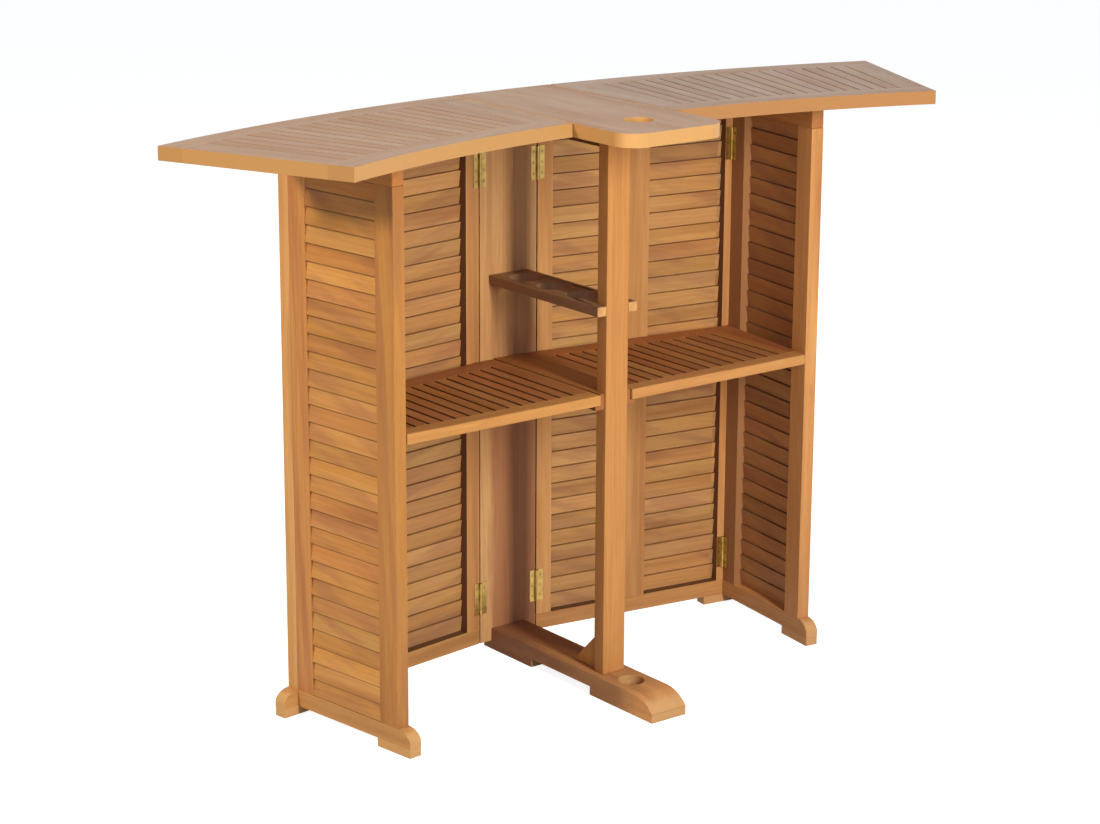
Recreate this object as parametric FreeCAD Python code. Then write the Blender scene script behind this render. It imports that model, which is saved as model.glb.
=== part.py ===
import FreeCAD, Part
import math
import os

# Folding bar table in solid teak. X runs along the bar, Y points from the server to the guests,
# and Z is up. The origin is on the floor under the middle of the bar. Millimetres and degrees.

V = FreeCAD.Vector
ORIGIN = V(0, 0, 0)
UP = V(0, 0, 1)
ALONG_X = V(1, 0, 0)
ALONG_Y = V(0, 1, 0)

# Table top
TOP_LENGTH = 1556.0
TOP_HEIGHT = 1050.0
TOP_THICK = 24.0
FAR_ARC_RADIUS = 2400.0
FAR_ARC_Y = 251.0
NEAR_ARC_RADIUS = 1700.0
NEAR_ARC_Y = -98.0
LEAF_END_CUT_BACK = 150.0
TONGUE_HALF_WIDTH = 110.0
TONGUE_FRONT_Y = -251.0
TONGUE_CORNER_RADIUS = 42.0
LEAF_JOINT_GAP = 1.0
LEAF_JOINT_CHAMFER = 2.0
FAR_RIM_WIDTH = 48.0
NEAR_RIM_WIDTH = 49.0
INNER_RAIL_ANGLE = 6.0
END_RAIL_WIDTH = 56.0
LEAF_SLAT_COUNT = 17
LEAF_SLAT_GAP = 2.0
POLE_Y = -141.0
POLE_HOLE_RADIUS = 26.5

# Centre frame
PLANK_HALF_WIDTH = 64.0
PLANK_FACE_Y = 226.0
PLANK_THICK = 24.0
POST_WIDTH = 48.8
POST_DEPTH = 27.0
POST_FRONT_Y = -91.5
TOP_RAIL_WIDTH = 44.0
TOP_RAIL_HEIGHT = 31.0
FOOT_RAIL_WIDTH = 77.6
FOOT_RAIL_THICK = 25.0
FOOT_RAIL_FRONT_Y = -247.0
FOOT_RAIL_NOSE_REACH = 53.0
FOOT_RAIL_NOSE_TIP = 1.0
PAD_HEIGHT = 16.0
FRONT_PAD_LENGTH = 176.0
REAR_PAD_LENGTH = 148.0
SOCKET_RADIUS = 24.0
GUSSET_WIDTH = 30.0
GUSSET_REACH = 70.0
GUSSET_HEIGHT = 70.0

# Bottle rack and shelf bearer
RACK_WIDTH = 88.0
RACK_THICK = 17.5
RACK_TOP = 720.0
RACK_HOLE_RADIUS = 31.0
RACK_HOLE_PITCH = 83.0
RACK_HOLE_COUNT = 3
RACK_LAST_HOLE_SETBACK = 55.0
BEARER_WIDTH = 90.0
BEARER_LEDGE = 11.0
BEARER_LIP = 9.0
BEARER_FRONT_SETBACK = 3.5
BEARER_TOP_RISE = 1.0

# Shelves
SHELF_TOP = 562.0
SHELF_THICK = 19.0
SHELF_CLEAR = 1.0
SHELF_BACK_CLEAR = 2.0
SHELF_FRONT_RAIL = 32.0
SHELF_BACK_RAIL = 40.0
SHELF_INNER_SLAT = 36.0
SHELF_SLAT_WIDTH = 22.3
SHELF_SLAT_GAP = 5.5
SHELF_SLAT_COUNT = 12
SHELF_LIFT_CLEAR = 0.2
CLEAT_SIZE = 10.0
CLEAT_SETBACK = 30.0

# Louvred wings
WING_ANGLE = 8.0
PANEL_THICK = 25.0
PANEL_TOP_CLEAR = 0.3
PANEL_GAP = 1.0
CORNER_GAP = 0.5
TOP_PANEL_RAIL = 45.0
BOTTOM_PANEL_RAIL = 30.0
FRONT_PANEL_WIDTH = 446.0
FRONT_HINGE_STILE = 32.0
FRONT_FIRST_BAY = 164.0
FRONT_MIDDLE_STILE = 43.0
FRONT_OUTER_STILE = 40.0
SIDE_PANEL_WIDTH = 259.0
SIDE_FAR_STILE = 40.0
SIDE_NEAR_STILE = 44.0
NOSE_REACH = 31.0
NOSE_DROP = 21.0
FRONT_PAD_WING_LENGTH = 99.0
SIDE_PAD_WING_LENGTH = 83.0
SLAT_COUNT = 30
SLAT_GAP = 0.9
SLAT_THICK = 7.0
SLAT_TILT = 7.0
SLAT_OUTER_RECESS = 1.0
SLAT_END_ROOM = 0.2

# Brass butt hinges on the wings
HINGE_HEIGHT = 62.0
PLANK_HINGE_LEAF = 14.5
CORNER_HINGE_LEAF = 11.5
HINGE_LEAF_THICK = 1.6
HINGE_KNUCKLE_RADIUS = 3.0
HINGE_STANDOFF = 0.2
HINGE_PIN_RADIUS = 1.4
HINGE_PIN_FIT = 0.05
HINGE_KNUCKLES = 5
HINGE_KNUCKLE_GAP = 0.3
HINGE_LOW_LEVEL = 105.0
HINGE_TOP_SETBACK = 110.7
SCREW_HEAD_RADIUS = 2.5
SCREW_SHANK_RADIUS = 1.4
SCREW_LENGTH = 12.0
SCREW_PITCH = 20.0
SCREW_FIT = 0.05

# Slim brass hinges let into the joint between the centre board and each leaf
SLIM_LENGTH = 80.0
SLIM_KNUCKLE_RADIUS = 1.6
SLIM_PIN_RADIUS = 0.7
SLIM_DEPTH_BELOW_TOP = 1.7
SLIM_GROOVE_CLEAR = 0.4
SLIM_LEAF_THICK = 1.2
SLIM_LEAF_HEIGHT = 17.0
SLIM_SETBACK = 60.0

# Levels that follow from the sizes above
TOP_UNDERSIDE = TOP_HEIGHT - TOP_THICK
PANEL_BASE = PAD_HEIGHT
PANEL_TOP = TOP_UNDERSIDE - PANEL_TOP_CLEAR
FOOT_RAIL_TOP = PAD_HEIGHT + FOOT_RAIL_THICK
SHELF_BASE = SHELF_TOP - SHELF_THICK
SLIM_AXIS_Z = TOP_HEIGHT - SLIM_DEPTH_BELOW_TOP
HINGE_OFFSET = HINGE_KNUCKLE_RADIUS + HINGE_STANDOFF
HINGE_AXIS = V(PLANK_HALF_WIDTH + PANEL_GAP, PLANK_FACE_Y - HINGE_OFFSET, 0)
HINGE_LEVELS = (HINGE_LOW_LEVEL, PANEL_TOP - HINGE_TOP_SETBACK)
SIDE_PANEL_U = PANEL_GAP + FRONT_PANEL_WIDTH - PANEL_THICK
POST_BACK_Y = POST_FRONT_Y + POST_DEPTH
FAR_CENTRE = V(0, FAR_ARC_Y - FAR_ARC_RADIUS, 0)
NEAR_CENTRE = V(0, NEAR_ARC_Y - NEAR_ARC_RADIUS, 0)
LEAF_END_FAR_X = TOP_LENGTH / 2
LEAF_END_NEAR_X = LEAF_END_FAR_X - LEAF_END_CUT_BACK
LEAF_END_FAR_Y = FAR_CENTRE.y + math.sqrt(FAR_ARC_RADIUS ** 2 - LEAF_END_FAR_X ** 2)
LEAF_END_NEAR_Y = NEAR_CENTRE.y + math.sqrt(NEAR_ARC_RADIUS ** 2 - LEAF_END_NEAR_X ** 2)
LEAF_END_SLOPE = (LEAF_END_FAR_Y - LEAF_END_NEAR_Y) / (LEAF_END_FAR_X - LEAF_END_NEAR_X)
FAN_CENTRE = V(0, LEAF_END_NEAR_Y - LEAF_END_NEAR_X * LEAF_END_SLOPE, 0)
LEAF_END_ANGLE = math.degrees(math.atan2(1, LEAF_END_SLOPE))
SHELF_INNER_X = BEARER_WIDTH / 2 - BEARER_LEDGE + SHELF_CLEAR


def box(x0, x1, y0, y1, z0, z1):
    """A block between two corners."""
    return Part.makeBox(x1 - x0, y1 - y0, z1 - z0, V(x0, y0, z0))


def prism(points, z0, z1):
    """An upright block on a plan of straight edges."""
    corners = [V(x, y, z0) for x, y in points]
    face = Part.Face(Part.makePolygon(corners + corners[:1]))
    return face.extrude(V(0, 0, z1 - z0))


def disc(radius, centre, z0, z1):
    """An upright round block."""
    return Part.makeCylinder(radius, z1 - z0, V(centre.x, centre.y, z0))


def export(node, solids):
    """Write one node as separate solids."""
    shape = solids[0] if len(solids) == 1 else Part.makeCompound(solids)
    shape.exportStep("parts/" + node + ".step")


def export_pair(node, solids):
    """Write the right-hand node and its mirror image on the left."""
    export("right_" + node, solids)
    export("left_" + node, [s.mirror(ORIGIN, ALONG_X) for s in solids])


def both_sides(solids):
    """The right-hand solids with their mirror images."""
    return solids + [s.mirror(ORIGIN, ALONG_X) for s in solids]


def nosed_bar(bend, nose, shoulder, thick, z0):
    """A bar along X from 0 whose far end follows a nose from the top's bend to the end's shoulder."""
    start = V(0, 0, bend.z)
    base = V(0, 0, z0)
    tip = V(shoulder.x, 0, z0)
    outline = [
        Part.LineSegment(start, bend),
        nose,
        Part.LineSegment(shoulder, tip),
        Part.LineSegment(tip, base),
        Part.LineSegment(base, start),
    ]
    return Part.Face(Part.Wire([line.toShape() for line in outline])).extrude(V(0, thick, 0))


def bar_with_nose(length, reach, drop, thick, z0, z1):
    """A bar along X from 0, its far top edge rounded over reach and drop; thickness along Y."""
    bend = V(length - reach, 0, z1)
    shoulder = V(length, 0, z1 - drop)
    centre = V(length - reach, 0, z1 - drop)
    if reach > drop:
        nose = Part.Arc(Part.Ellipse(shoulder, bend, centre), 0, math.pi / 2)
    else:
        nose = Part.Arc(Part.Ellipse(bend, shoulder, centre), 0, math.pi / 2)
    return nosed_bar(bend, nose, shoulder, thick, z0)


def bar_with_swept_nose(length, reach, tip, thick, z0, z1):
    """A bar along X from 0, its far end swept down in one arc to a flat tip; thickness along Y."""
    drop = z1 - z0 - tip
    radius = (reach ** 2 + drop ** 2) / (2 * drop)
    half_turn = math.asin(reach / radius) / 2
    bend = V(length - reach, 0, z1)
    middle = bend + V(radius * math.sin(half_turn), 0, -radius * (1 - math.cos(half_turn)))
    shoulder = V(length, 0, z0 + tip)
    return nosed_bar(bend, Part.Arc(bend, middle, shoulder), shoulder, thick, z0)


def on_front_panel(shape):
    """Move a shape from the front panel's own frame to its place on the right wing.

    In that frame X runs along the panel from its hinge axis, Y runs outwards from its inner face.
    """
    placed = shape.copy()
    placed.translate(V(0, HINGE_OFFSET, 0))
    placed.rotate(ORIGIN, UP, -WING_ANGLE)
    placed.translate(HINGE_AXIS)
    return placed


def on_side_panel(shape):
    """Move a shape from the side panel's own frame, X towards the server, to its place."""
    placed = shape.copy()
    placed.rotate(ORIGIN, UP, -90)
    placed.translate(V(SIDE_PANEL_U, -CORNER_GAP, 0))
    return on_front_panel(placed)


def front_panel_line(offset):
    """Plan points of a line parallel to the front panel's inner face, offset towards the server."""
    angle = math.radians(WING_ANGLE)
    along = V(math.cos(angle), -math.sin(angle), 0)
    outwards = V(math.sin(angle), math.cos(angle), 0)
    start = HINGE_AXIS + outwards * (HINGE_OFFSET - offset)
    return start, along


def side_panel_reach(y):
    """Distance along the side panel's inner face from its corner to a given Y."""
    start, along = front_panel_line(CORNER_GAP)
    corner = start + along * SIDE_PANEL_U
    return (corner.y - y) / along.x


def louvre_slats(u0, u1):
    """Tilted slats that fill the height between two stiles, lower edges outwards."""
    rise = math.cos(math.radians(SLAT_TILT))
    lean = math.sin(math.radians(SLAT_TILT))
    base = PANEL_BASE + BOTTOM_PANEL_RAIL + SLAT_END_ROOM
    height = PANEL_TOP - TOP_PANEL_RAIL - SLAT_END_ROOM - base
    steps = SLAT_COUNT - 1
    width = (height - SLAT_THICK * lean - steps * SLAT_GAP / rise) / (steps / rise + rise)
    half_height = (width * rise + SLAT_THICK * lean) / 2
    half_depth = (width * lean + SLAT_THICK * rise) / 2
    centre_v = PANEL_THICK - SLAT_OUTER_RECESS - half_depth
    slats = []
    for index in range(SLAT_COUNT):
        slat = box(u0, u1, -SLAT_THICK / 2, SLAT_THICK / 2, -width / 2, width / 2)
        slat.rotate(ORIGIN, ALONG_X, SLAT_TILT)
        slat.translate(V(0, centre_v, base + half_height + index * (width + SLAT_GAP) / rise))
        slats.append(slat)
    return slats


def panel_frame(width, stiles, start):
    """Top rail, bottom rail with a rounded foot, and stiles at the given spans."""
    stile_top = PANEL_TOP - TOP_PANEL_RAIL
    stile_base = PANEL_BASE + BOTTOM_PANEL_RAIL
    top_rail = box(start, start + width, 0, PANEL_THICK, stile_top, PANEL_TOP)
    bottom_rail = bar_with_nose(width + NOSE_REACH, NOSE_REACH, NOSE_DROP, PANEL_THICK,
                                PANEL_BASE, stile_base)
    bottom_rail.translate(V(start, 0, 0))
    posts = [box(u0, u1, 0, PANEL_THICK, stile_base, stile_top) for u0, u1 in stiles]
    return top_rail, bottom_rail, posts


def screw_levels():
    """Heights of a hinge leaf's screws about the middle of the hinge."""
    return (-SCREW_PITCH, 0.0, SCREW_PITCH)


def screw_line(width):
    """Distance of a leaf's screws from the hinge axis: the middle of its plate."""
    return (HINGE_KNUCKLE_RADIUS + HINGE_KNUCKLE_GAP + width) / 2


def hinge_leaf(zones, width):
    """One leaf with its knuckles about a vertical axis at the origin.

    The leaf lies along +X against a face at Y = HINGE_OFFSET and ends at the given width.
    """
    face_y = HINGE_OFFSET
    half = HINGE_HEIGHT / 2
    plate_start = HINGE_KNUCKLE_RADIUS + HINGE_KNUCKLE_GAP
    leaf = box(plate_start, width, face_y - HINGE_LEAF_THICK, face_y, -half, half)
    zone_height = HINGE_HEIGHT / HINGE_KNUCKLES
    for zone in zones:
        z0 = -half + zone * zone_height + HINGE_KNUCKLE_GAP / 2
        z1 = -half + (zone + 1) * zone_height - HINGE_KNUCKLE_GAP / 2
        barrel = disc(HINGE_KNUCKLE_RADIUS, ORIGIN, z0, z1)
        web = box(0, plate_start, face_y - HINGE_LEAF_THICK, face_y, z0, z1)
        leaf = leaf.fuse(barrel).fuse(web)
    leaf = leaf.cut(disc(HINGE_PIN_RADIUS + HINGE_PIN_FIT, ORIGIN, -half, half))
    for level in screw_levels():
        hole = Part.makeCone(
            SCREW_HEAD_RADIUS + SCREW_FIT,
            SCREW_SHANK_RADIUS + SCREW_FIT,
            HINGE_LEAF_THICK,
            V(screw_line(width), face_y - HINGE_LEAF_THICK, level),
            ALONG_Y,
        )
        leaf = leaf.cut(hole)
    return leaf.removeSplitter()


def hinge_screws(width):
    """The three countersunk screws of a leaf."""
    face_y = HINGE_OFFSET
    line = screw_line(width)
    screws = []
    for level in screw_levels():
        place = V(line, face_y - HINGE_LEAF_THICK, level)
        head = Part.makeCone(SCREW_HEAD_RADIUS, SCREW_SHANK_RADIUS, HINGE_LEAF_THICK, place, ALONG_Y)
        shank = Part.makeCylinder(SCREW_SHANK_RADIUS, SCREW_LENGTH, V(line, face_y, level), ALONG_Y)
        screws.append(head.fuse(shank).removeSplitter())
    return screws


def pilot_holes(width):
    """What a leaf's three screws take out of the wood behind it."""
    radius = SCREW_SHANK_RADIUS + SCREW_FIT
    depth = SCREW_LENGTH + SCREW_FIT
    return [
        Part.makeCylinder(radius, depth, V(screw_line(width), HINGE_OFFSET, level), ALONG_Y)
        for level in screw_levels()
    ]


def hinge_pin():
    """The pin of one wing hinge."""
    return disc(HINGE_PIN_RADIUS, ORIGIN, -HINGE_HEIGHT / 2, HINGE_HEIGHT / 2)


def at_levels(shapes, move):
    """Copies of hinge shapes at both hinge heights, each put in place by move."""
    placed = []
    for level in HINGE_LEVELS:
        for shape in shapes:
            raised = shape.copy()
            raised.translate(V(0, 0, level))
            placed.append(move(raised))
    return placed


def on_plank(shape):
    """A hinge shape on the plank: its leaf points back towards the middle of the bar."""
    turned = shape.mirror(ORIGIN, ALONG_X)
    turned.translate(HINGE_AXIS)
    return turned


def on_wing_start(shape):
    """A hinge shape on the front panel's hinge stile."""
    moved = shape.copy()
    moved.translate(V(0, -HINGE_OFFSET, 0))
    return on_front_panel(moved)


def on_corner_front(shape):
    """A corner hinge shape on the front panel, its leaf pointing back along the panel."""
    moved = shape.mirror(ORIGIN, ALONG_X)
    moved.translate(V(SIDE_PANEL_U - HINGE_OFFSET, -HINGE_OFFSET, 0))
    return on_front_panel(moved)


def on_corner_side(shape):
    """A corner hinge shape on the side panel, its leaf pointing towards the server."""
    moved = shape.copy()
    moved.rotate(ORIGIN, UP, -90)
    moved.translate(V(SIDE_PANEL_U - HINGE_OFFSET, -HINGE_OFFSET, 0))
    return on_front_panel(moved)


def drilled(solids, holes):
    """Solids with every hole cut from them."""
    return [solid.cut(Part.makeCompound(holes)) for solid in solids]


def build_wings():
    """Front and side panels of both wings with their hinges, pads and shelf cleats."""
    start = PANEL_GAP
    end = start + FRONT_PANEL_WIDTH
    hinge_stile = (start, start + FRONT_HINGE_STILE)
    middle_start = hinge_stile[1] + FRONT_FIRST_BAY
    middle_stile = (middle_start, middle_start + FRONT_MIDDLE_STILE)
    outer_stile = (end - FRONT_OUTER_STILE, end)
    stiles = (hinge_stile, middle_stile, outer_stile)
    top_rail, bottom_rail, posts = panel_frame(FRONT_PANEL_WIDTH, stiles, start)
    posts = [on_front_panel(post) for post in posts]
    plank_holes = pilot_holes(PLANK_HINGE_LEAF)
    corner_holes = pilot_holes(CORNER_HINGE_LEAF)
    holes = at_levels(plank_holes, on_wing_start) + at_levels(corner_holes, on_corner_front)
    slats = louvre_slats(hinge_stile[1], middle_stile[0]) + louvre_slats(middle_stile[1], outer_stile[0])
    export_pair("front_top_rail", [on_front_panel(top_rail)])
    export_pair("front_bottom_rail", [on_front_panel(bottom_rail)])
    export_pair("front_stiles", drilled(posts, holes))
    export_pair("front_louvres", [on_front_panel(slat) for slat in slats])

    far_stile = (0, SIDE_FAR_STILE)
    near_stile = (SIDE_PANEL_WIDTH - SIDE_NEAR_STILE, SIDE_PANEL_WIDTH)
    top_rail, bottom_rail, posts = panel_frame(SIDE_PANEL_WIDTH, (far_stile, near_stile), 0)
    posts = [on_side_panel(post) for post in posts]
    holes = at_levels(corner_holes, on_corner_side)
    export_pair("side_top_rail", [on_side_panel(top_rail)])
    export_pair("side_bottom_rail", [on_side_panel(bottom_rail)])
    export_pair("side_stiles", drilled(posts, holes))
    export_pair("side_louvres", [on_side_panel(s) for s in louvre_slats(far_stile[1], near_stile[0])])

    front_tip = end + NOSE_REACH
    side_tip = SIDE_PANEL_WIDTH + NOSE_REACH
    front_pad = box(front_tip - FRONT_PAD_WING_LENGTH, front_tip, 0, PANEL_THICK, 0, PAD_HEIGHT)
    side_pad = box(side_tip - SIDE_PAD_WING_LENGTH, side_tip, 0, PANEL_THICK, 0, PAD_HEIGHT)
    export_pair("wing_foot_pads", [on_front_panel(front_pad), on_side_panel(side_pad)])

    cleat_top = SHELF_BASE - SHELF_LIFT_CLEAR
    cleat_end = min(side_panel_reach(POST_FRONT_Y) - CLEAT_SETBACK, SIDE_PANEL_WIDTH)
    cleat = box(SIDE_FAR_STILE / 2, cleat_end, -CLEAT_SIZE, 0, cleat_top - CLEAT_SIZE, cleat_top)
    export_pair("shelf_cleat", [on_side_panel(cleat)])

    fixed_zones = range(0, HINGE_KNUCKLES, 2)
    moving_zones = range(1, HINGE_KNUCKLES, 2)
    pin = hinge_pin()
    leaf_screws = hinge_screws(PLANK_HINGE_LEAF)
    export_pair("wing_hinge_leaves", at_levels([hinge_leaf(moving_zones, PLANK_HINGE_LEAF)], on_wing_start))
    corner_fixed = at_levels([hinge_leaf(fixed_zones, CORNER_HINGE_LEAF)], on_corner_front)
    corner_moving = at_levels([hinge_leaf(moving_zones, CORNER_HINGE_LEAF)], on_corner_side)
    export_pair("corner_hinge_leaves", corner_fixed + corner_moving)
    export_pair("corner_hinge_pins", at_levels([pin], on_corner_front))
    corner_screws = hinge_screws(CORNER_HINGE_LEAF)
    screws = at_levels(leaf_screws, on_wing_start)
    screws += at_levels(corner_screws, on_corner_front) + at_levels(corner_screws, on_corner_side)
    export_pair("wing_screws", screws)
    plank_leaf = hinge_leaf(fixed_zones, PLANK_HINGE_LEAF)
    export("plank_hinge_leaves", both_sides(at_levels([plank_leaf], on_plank)))
    export("plank_hinge_pins", both_sides(at_levels([pin], on_plank)))
    export("plank_hinge_screws", both_sides(at_levels(leaf_screws, on_plank)))


def build_centre_frame():
    """Plank, post, rails, feet, bottle rack and shelf bearer."""
    plank_back = PLANK_FACE_Y + PLANK_THICK
    plank = box(-PLANK_HALF_WIDTH, PLANK_HALF_WIDTH, PLANK_FACE_Y, plank_back, PANEL_BASE, TOP_UNDERSIDE)
    export("back_plank", drilled([plank], both_sides(at_levels(pilot_holes(PLANK_HINGE_LEAF), on_plank))))

    post = box(-POST_WIDTH / 2, POST_WIDTH / 2, POST_FRONT_Y, POST_BACK_Y, FOOT_RAIL_TOP, TOP_UNDERSIDE)
    export("front_post", [post])
    top_rail = box(-TOP_RAIL_WIDTH / 2, TOP_RAIL_WIDTH / 2, POST_BACK_Y, PLANK_FACE_Y,
                   TOP_UNDERSIDE - TOP_RAIL_HEIGHT, TOP_UNDERSIDE)
    export("top_rail", [top_rail])

    half = FOOT_RAIL_WIDTH / 2
    rail = bar_with_swept_nose(PLANK_FACE_Y - FOOT_RAIL_FRONT_Y, FOOT_RAIL_NOSE_REACH, FOOT_RAIL_NOSE_TIP,
                               FOOT_RAIL_WIDTH, PAD_HEIGHT, FOOT_RAIL_TOP)
    rail.rotate(ORIGIN, UP, -90)
    rail.translate(V(-half, PLANK_FACE_Y, 0))
    pole = V(0, POLE_Y, 0)
    export("foot_rail", [rail.cut(disc(SOCKET_RADIUS, pole, PAD_HEIGHT, FOOT_RAIL_TOP))])
    front_pad = box(-half, half, FOOT_RAIL_FRONT_Y, FOOT_RAIL_FRONT_Y + FRONT_PAD_LENGTH, 0, PAD_HEIGHT)
    rear_pad = box(-half, half, plank_back - REAR_PAD_LENGTH, plank_back, 0, PAD_HEIGHT)
    export("base_foot_pads", [front_pad, rear_pad])
    profile = [
        V(-GUSSET_WIDTH / 2, POST_BACK_Y, FOOT_RAIL_TOP),
        V(-GUSSET_WIDTH / 2, POST_BACK_Y + GUSSET_REACH, FOOT_RAIL_TOP),
        V(-GUSSET_WIDTH / 2, POST_BACK_Y, FOOT_RAIL_TOP + GUSSET_HEIGHT),
    ]
    gusset = Part.Face(Part.makePolygon(profile + profile[:1])).extrude(V(GUSSET_WIDTH, 0, 0))
    export("post_gusset", [gusset])

    rack = box(-RACK_WIDTH / 2, RACK_WIDTH / 2, POST_FRONT_Y, PLANK_FACE_Y, RACK_TOP - RACK_THICK, RACK_TOP)
    for index in range(RACK_HOLE_COUNT):
        hole_y = PLANK_FACE_Y - RACK_LAST_HOLE_SETBACK - index * RACK_HOLE_PITCH
        rack = rack.cut(disc(RACK_HOLE_RADIUS, V(0, hole_y, 0), RACK_TOP - RACK_THICK, RACK_TOP))
    export("bottle_rack", [rack.cut(post)])

    half = BEARER_WIDTH / 2
    front = POST_FRONT_Y + BEARER_FRONT_SETBACK
    lip_base = SHELF_BASE - BEARER_LIP
    lip = box(-half, half, front, PLANK_FACE_Y, lip_base, SHELF_BASE)
    upper = box(-half + BEARER_LEDGE, half - BEARER_LEDGE, front, PLANK_FACE_Y, SHELF_BASE,
                SHELF_TOP + BEARER_TOP_RISE)
    export("shelf_bearer", [lip.fuse(upper).removeSplitter().cut(post)])


def build_shelves():
    """Two slatted shelves, each resting on the bearer and on a side panel's cleat."""
    back_start, along = front_panel_line(SHELF_BACK_CLEAR)
    outwards = V(-along.y, along.x, 0)
    outer_start = back_start + along * (SIDE_PANEL_U - SHELF_CLEAR)
    front_y = POST_FRONT_Y
    square_y = PLANK_FACE_Y - SHELF_BACK_CLEAR
    inner_x = SHELF_INNER_X

    def outer_x(y):
        """X of the shelf's outer edge, along the side panel, at a given Y."""
        return outer_start.x + (y - outer_start.y) * outwards.x / outwards.y

    def back_y(x):
        """Y of the shelf's back edge at a given X: along the plank, then along the front panel."""
        return min(square_y, back_start.y + (x - back_start.x) * along.y / along.x)

    bend_x = back_start.x + (square_y - back_start.y) * along.x / along.y
    rail_drop = SHELF_BACK_RAIL
    back_line = [(inner_x, square_y), (bend_x, square_y), (outer_start.x, outer_start.y)]
    inside_outer_y = outer_start.y - rail_drop
    inside_line = [
        (outer_x(inside_outer_y), inside_outer_y),
        (bend_x, square_y - rail_drop),
        (inner_x, square_y - rail_drop),
    ]
    back_rail = prism(back_line + inside_line, SHELF_BASE, SHELF_TOP)
    front_inside = front_y + SHELF_FRONT_RAIL
    front_rail = prism(
        [(inner_x, front_y), (outer_x(front_y), front_y), (outer_x(front_inside), front_inside),
         (inner_x, front_inside)],
        SHELF_BASE, SHELF_TOP)
    front_line = [(inner_x, front_inside), (outer_x(front_inside), front_inside)]
    field = prism(front_line + inside_line, SHELF_BASE, SHELF_TOP)

    spans = [(inner_x, inner_x + SHELF_INNER_SLAT)]
    for index in range(SHELF_SLAT_COUNT):
        left = spans[-1][1] + SHELF_SLAT_GAP
        spans.append((left, left + SHELF_SLAT_WIDTH))
    spans.append((spans[-1][1] + SHELF_SLAT_GAP, outer_start.x))
    slats = [field.common(box(x0, x1, front_inside, square_y, SHELF_BASE, SHELF_TOP)) for x0, x1 in spans]
    export_pair("shelf_front_rail", [front_rail])
    export_pair("shelf_back_rail", [back_rail])
    export_pair("shelf_slats", [solid for slat in slats for solid in slat.Solids])


def slim_hinge_places():
    """Y of the middle of each slim hinge along a leaf joint."""
    far_y = FAR_CENTRE.y + math.sqrt(FAR_ARC_RADIUS ** 2 - TONGUE_HALF_WIDTH ** 2)
    near_y = NEAR_CENTRE.y + math.sqrt(NEAR_ARC_RADIUS ** 2 - TONGUE_HALF_WIDTH ** 2)
    return (near_y + SLIM_SETBACK, far_y - SLIM_SETBACK)


def slim_leaf(zones):
    """A slim hinge leaf about an axis along Y at the origin, on the face at X = half the joint gap."""
    half = SLIM_LENGTH / 2
    face = LEAF_JOINT_GAP / 2
    leaf = box(face, face + SLIM_LEAF_THICK, -half, half, -SLIM_LEAF_HEIGHT,
               -SLIM_KNUCKLE_RADIUS - HINGE_KNUCKLE_GAP)
    zone_length = SLIM_LENGTH / HINGE_KNUCKLES
    for zone in zones:
        y0 = -half + zone * zone_length + HINGE_KNUCKLE_GAP / 2
        y1 = -half + (zone + 1) * zone_length - HINGE_KNUCKLE_GAP / 2
        barrel = Part.makeCylinder(SLIM_KNUCKLE_RADIUS, y1 - y0, V(0, y0, 0), ALONG_Y)
        web = box(face, face + SLIM_LEAF_THICK, y0, y1, -SLIM_LEAF_HEIGHT, 0)
        leaf = leaf.fuse(web).fuse(barrel)
    bore = Part.makeCylinder(SLIM_PIN_RADIUS + HINGE_PIN_FIT, SLIM_LENGTH, V(0, -half, 0), ALONG_Y)
    return leaf.cut(bore).removeSplitter()


def slim_recess():
    """Room for the slim hinge in one board: a mortise for its leaf and a groove for its knuckles."""
    half = SLIM_LENGTH / 2
    face = LEAF_JOINT_GAP / 2
    mortise = box(0, face + SLIM_LEAF_THICK, -half, half, -SLIM_LEAF_HEIGHT, 0)
    groove_radius = SLIM_KNUCKLE_RADIUS + SLIM_GROOVE_CLEAR
    groove = Part.makeCylinder(groove_radius, SLIM_LENGTH, V(0, -half, 0), ALONG_Y)
    mouth = box(-groove_radius, groove_radius, -half, half, 0, SLIM_DEPTH_BELOW_TOP)
    return mortise.fuse(groove).fuse(mouth)


def at_leaf_joint(shapes, flip):
    """Slim hinge shapes at both places along the right-hand joint; flip puts them on the centre board."""
    placed = []
    for y in slim_hinge_places():
        for shape in shapes:
            piece = shape.mirror(ORIGIN, ALONG_X) if flip else shape.copy()
            piece.translate(V(TONGUE_HALF_WIDTH, y, SLIM_AXIS_Z))
            placed.append(piece)
    return placed


def joint_groove():
    """The shallow V along the right-hand leaf joint that lets the leaf turn up."""
    reach = LEAF_JOINT_CHAMFER + LEAF_JOINT_GAP / 2
    profile = [
        V(-reach, TONGUE_FRONT_Y, TOP_HEIGHT),
        V(reach, TONGUE_FRONT_Y, TOP_HEIGHT),
        V(0, TONGUE_FRONT_Y, TOP_HEIGHT - reach),
    ]
    groove = Part.Face(Part.makePolygon(profile + profile[:1])).extrude(V(0, FAR_ARC_Y - TONGUE_FRONT_Y, 0))
    groove.translate(V(TONGUE_HALF_WIDTH, 0, 0))
    run_out_y = NEAR_CENTRE.y + math.sqrt(NEAR_ARC_RADIUS ** 2 - TONGUE_HALF_WIDTH ** 2) - reach
    return groove.common(box(0, 2 * TONGUE_HALF_WIDTH, run_out_y, FAR_ARC_Y, TOP_UNDERSIDE, TOP_HEIGHT))


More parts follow.
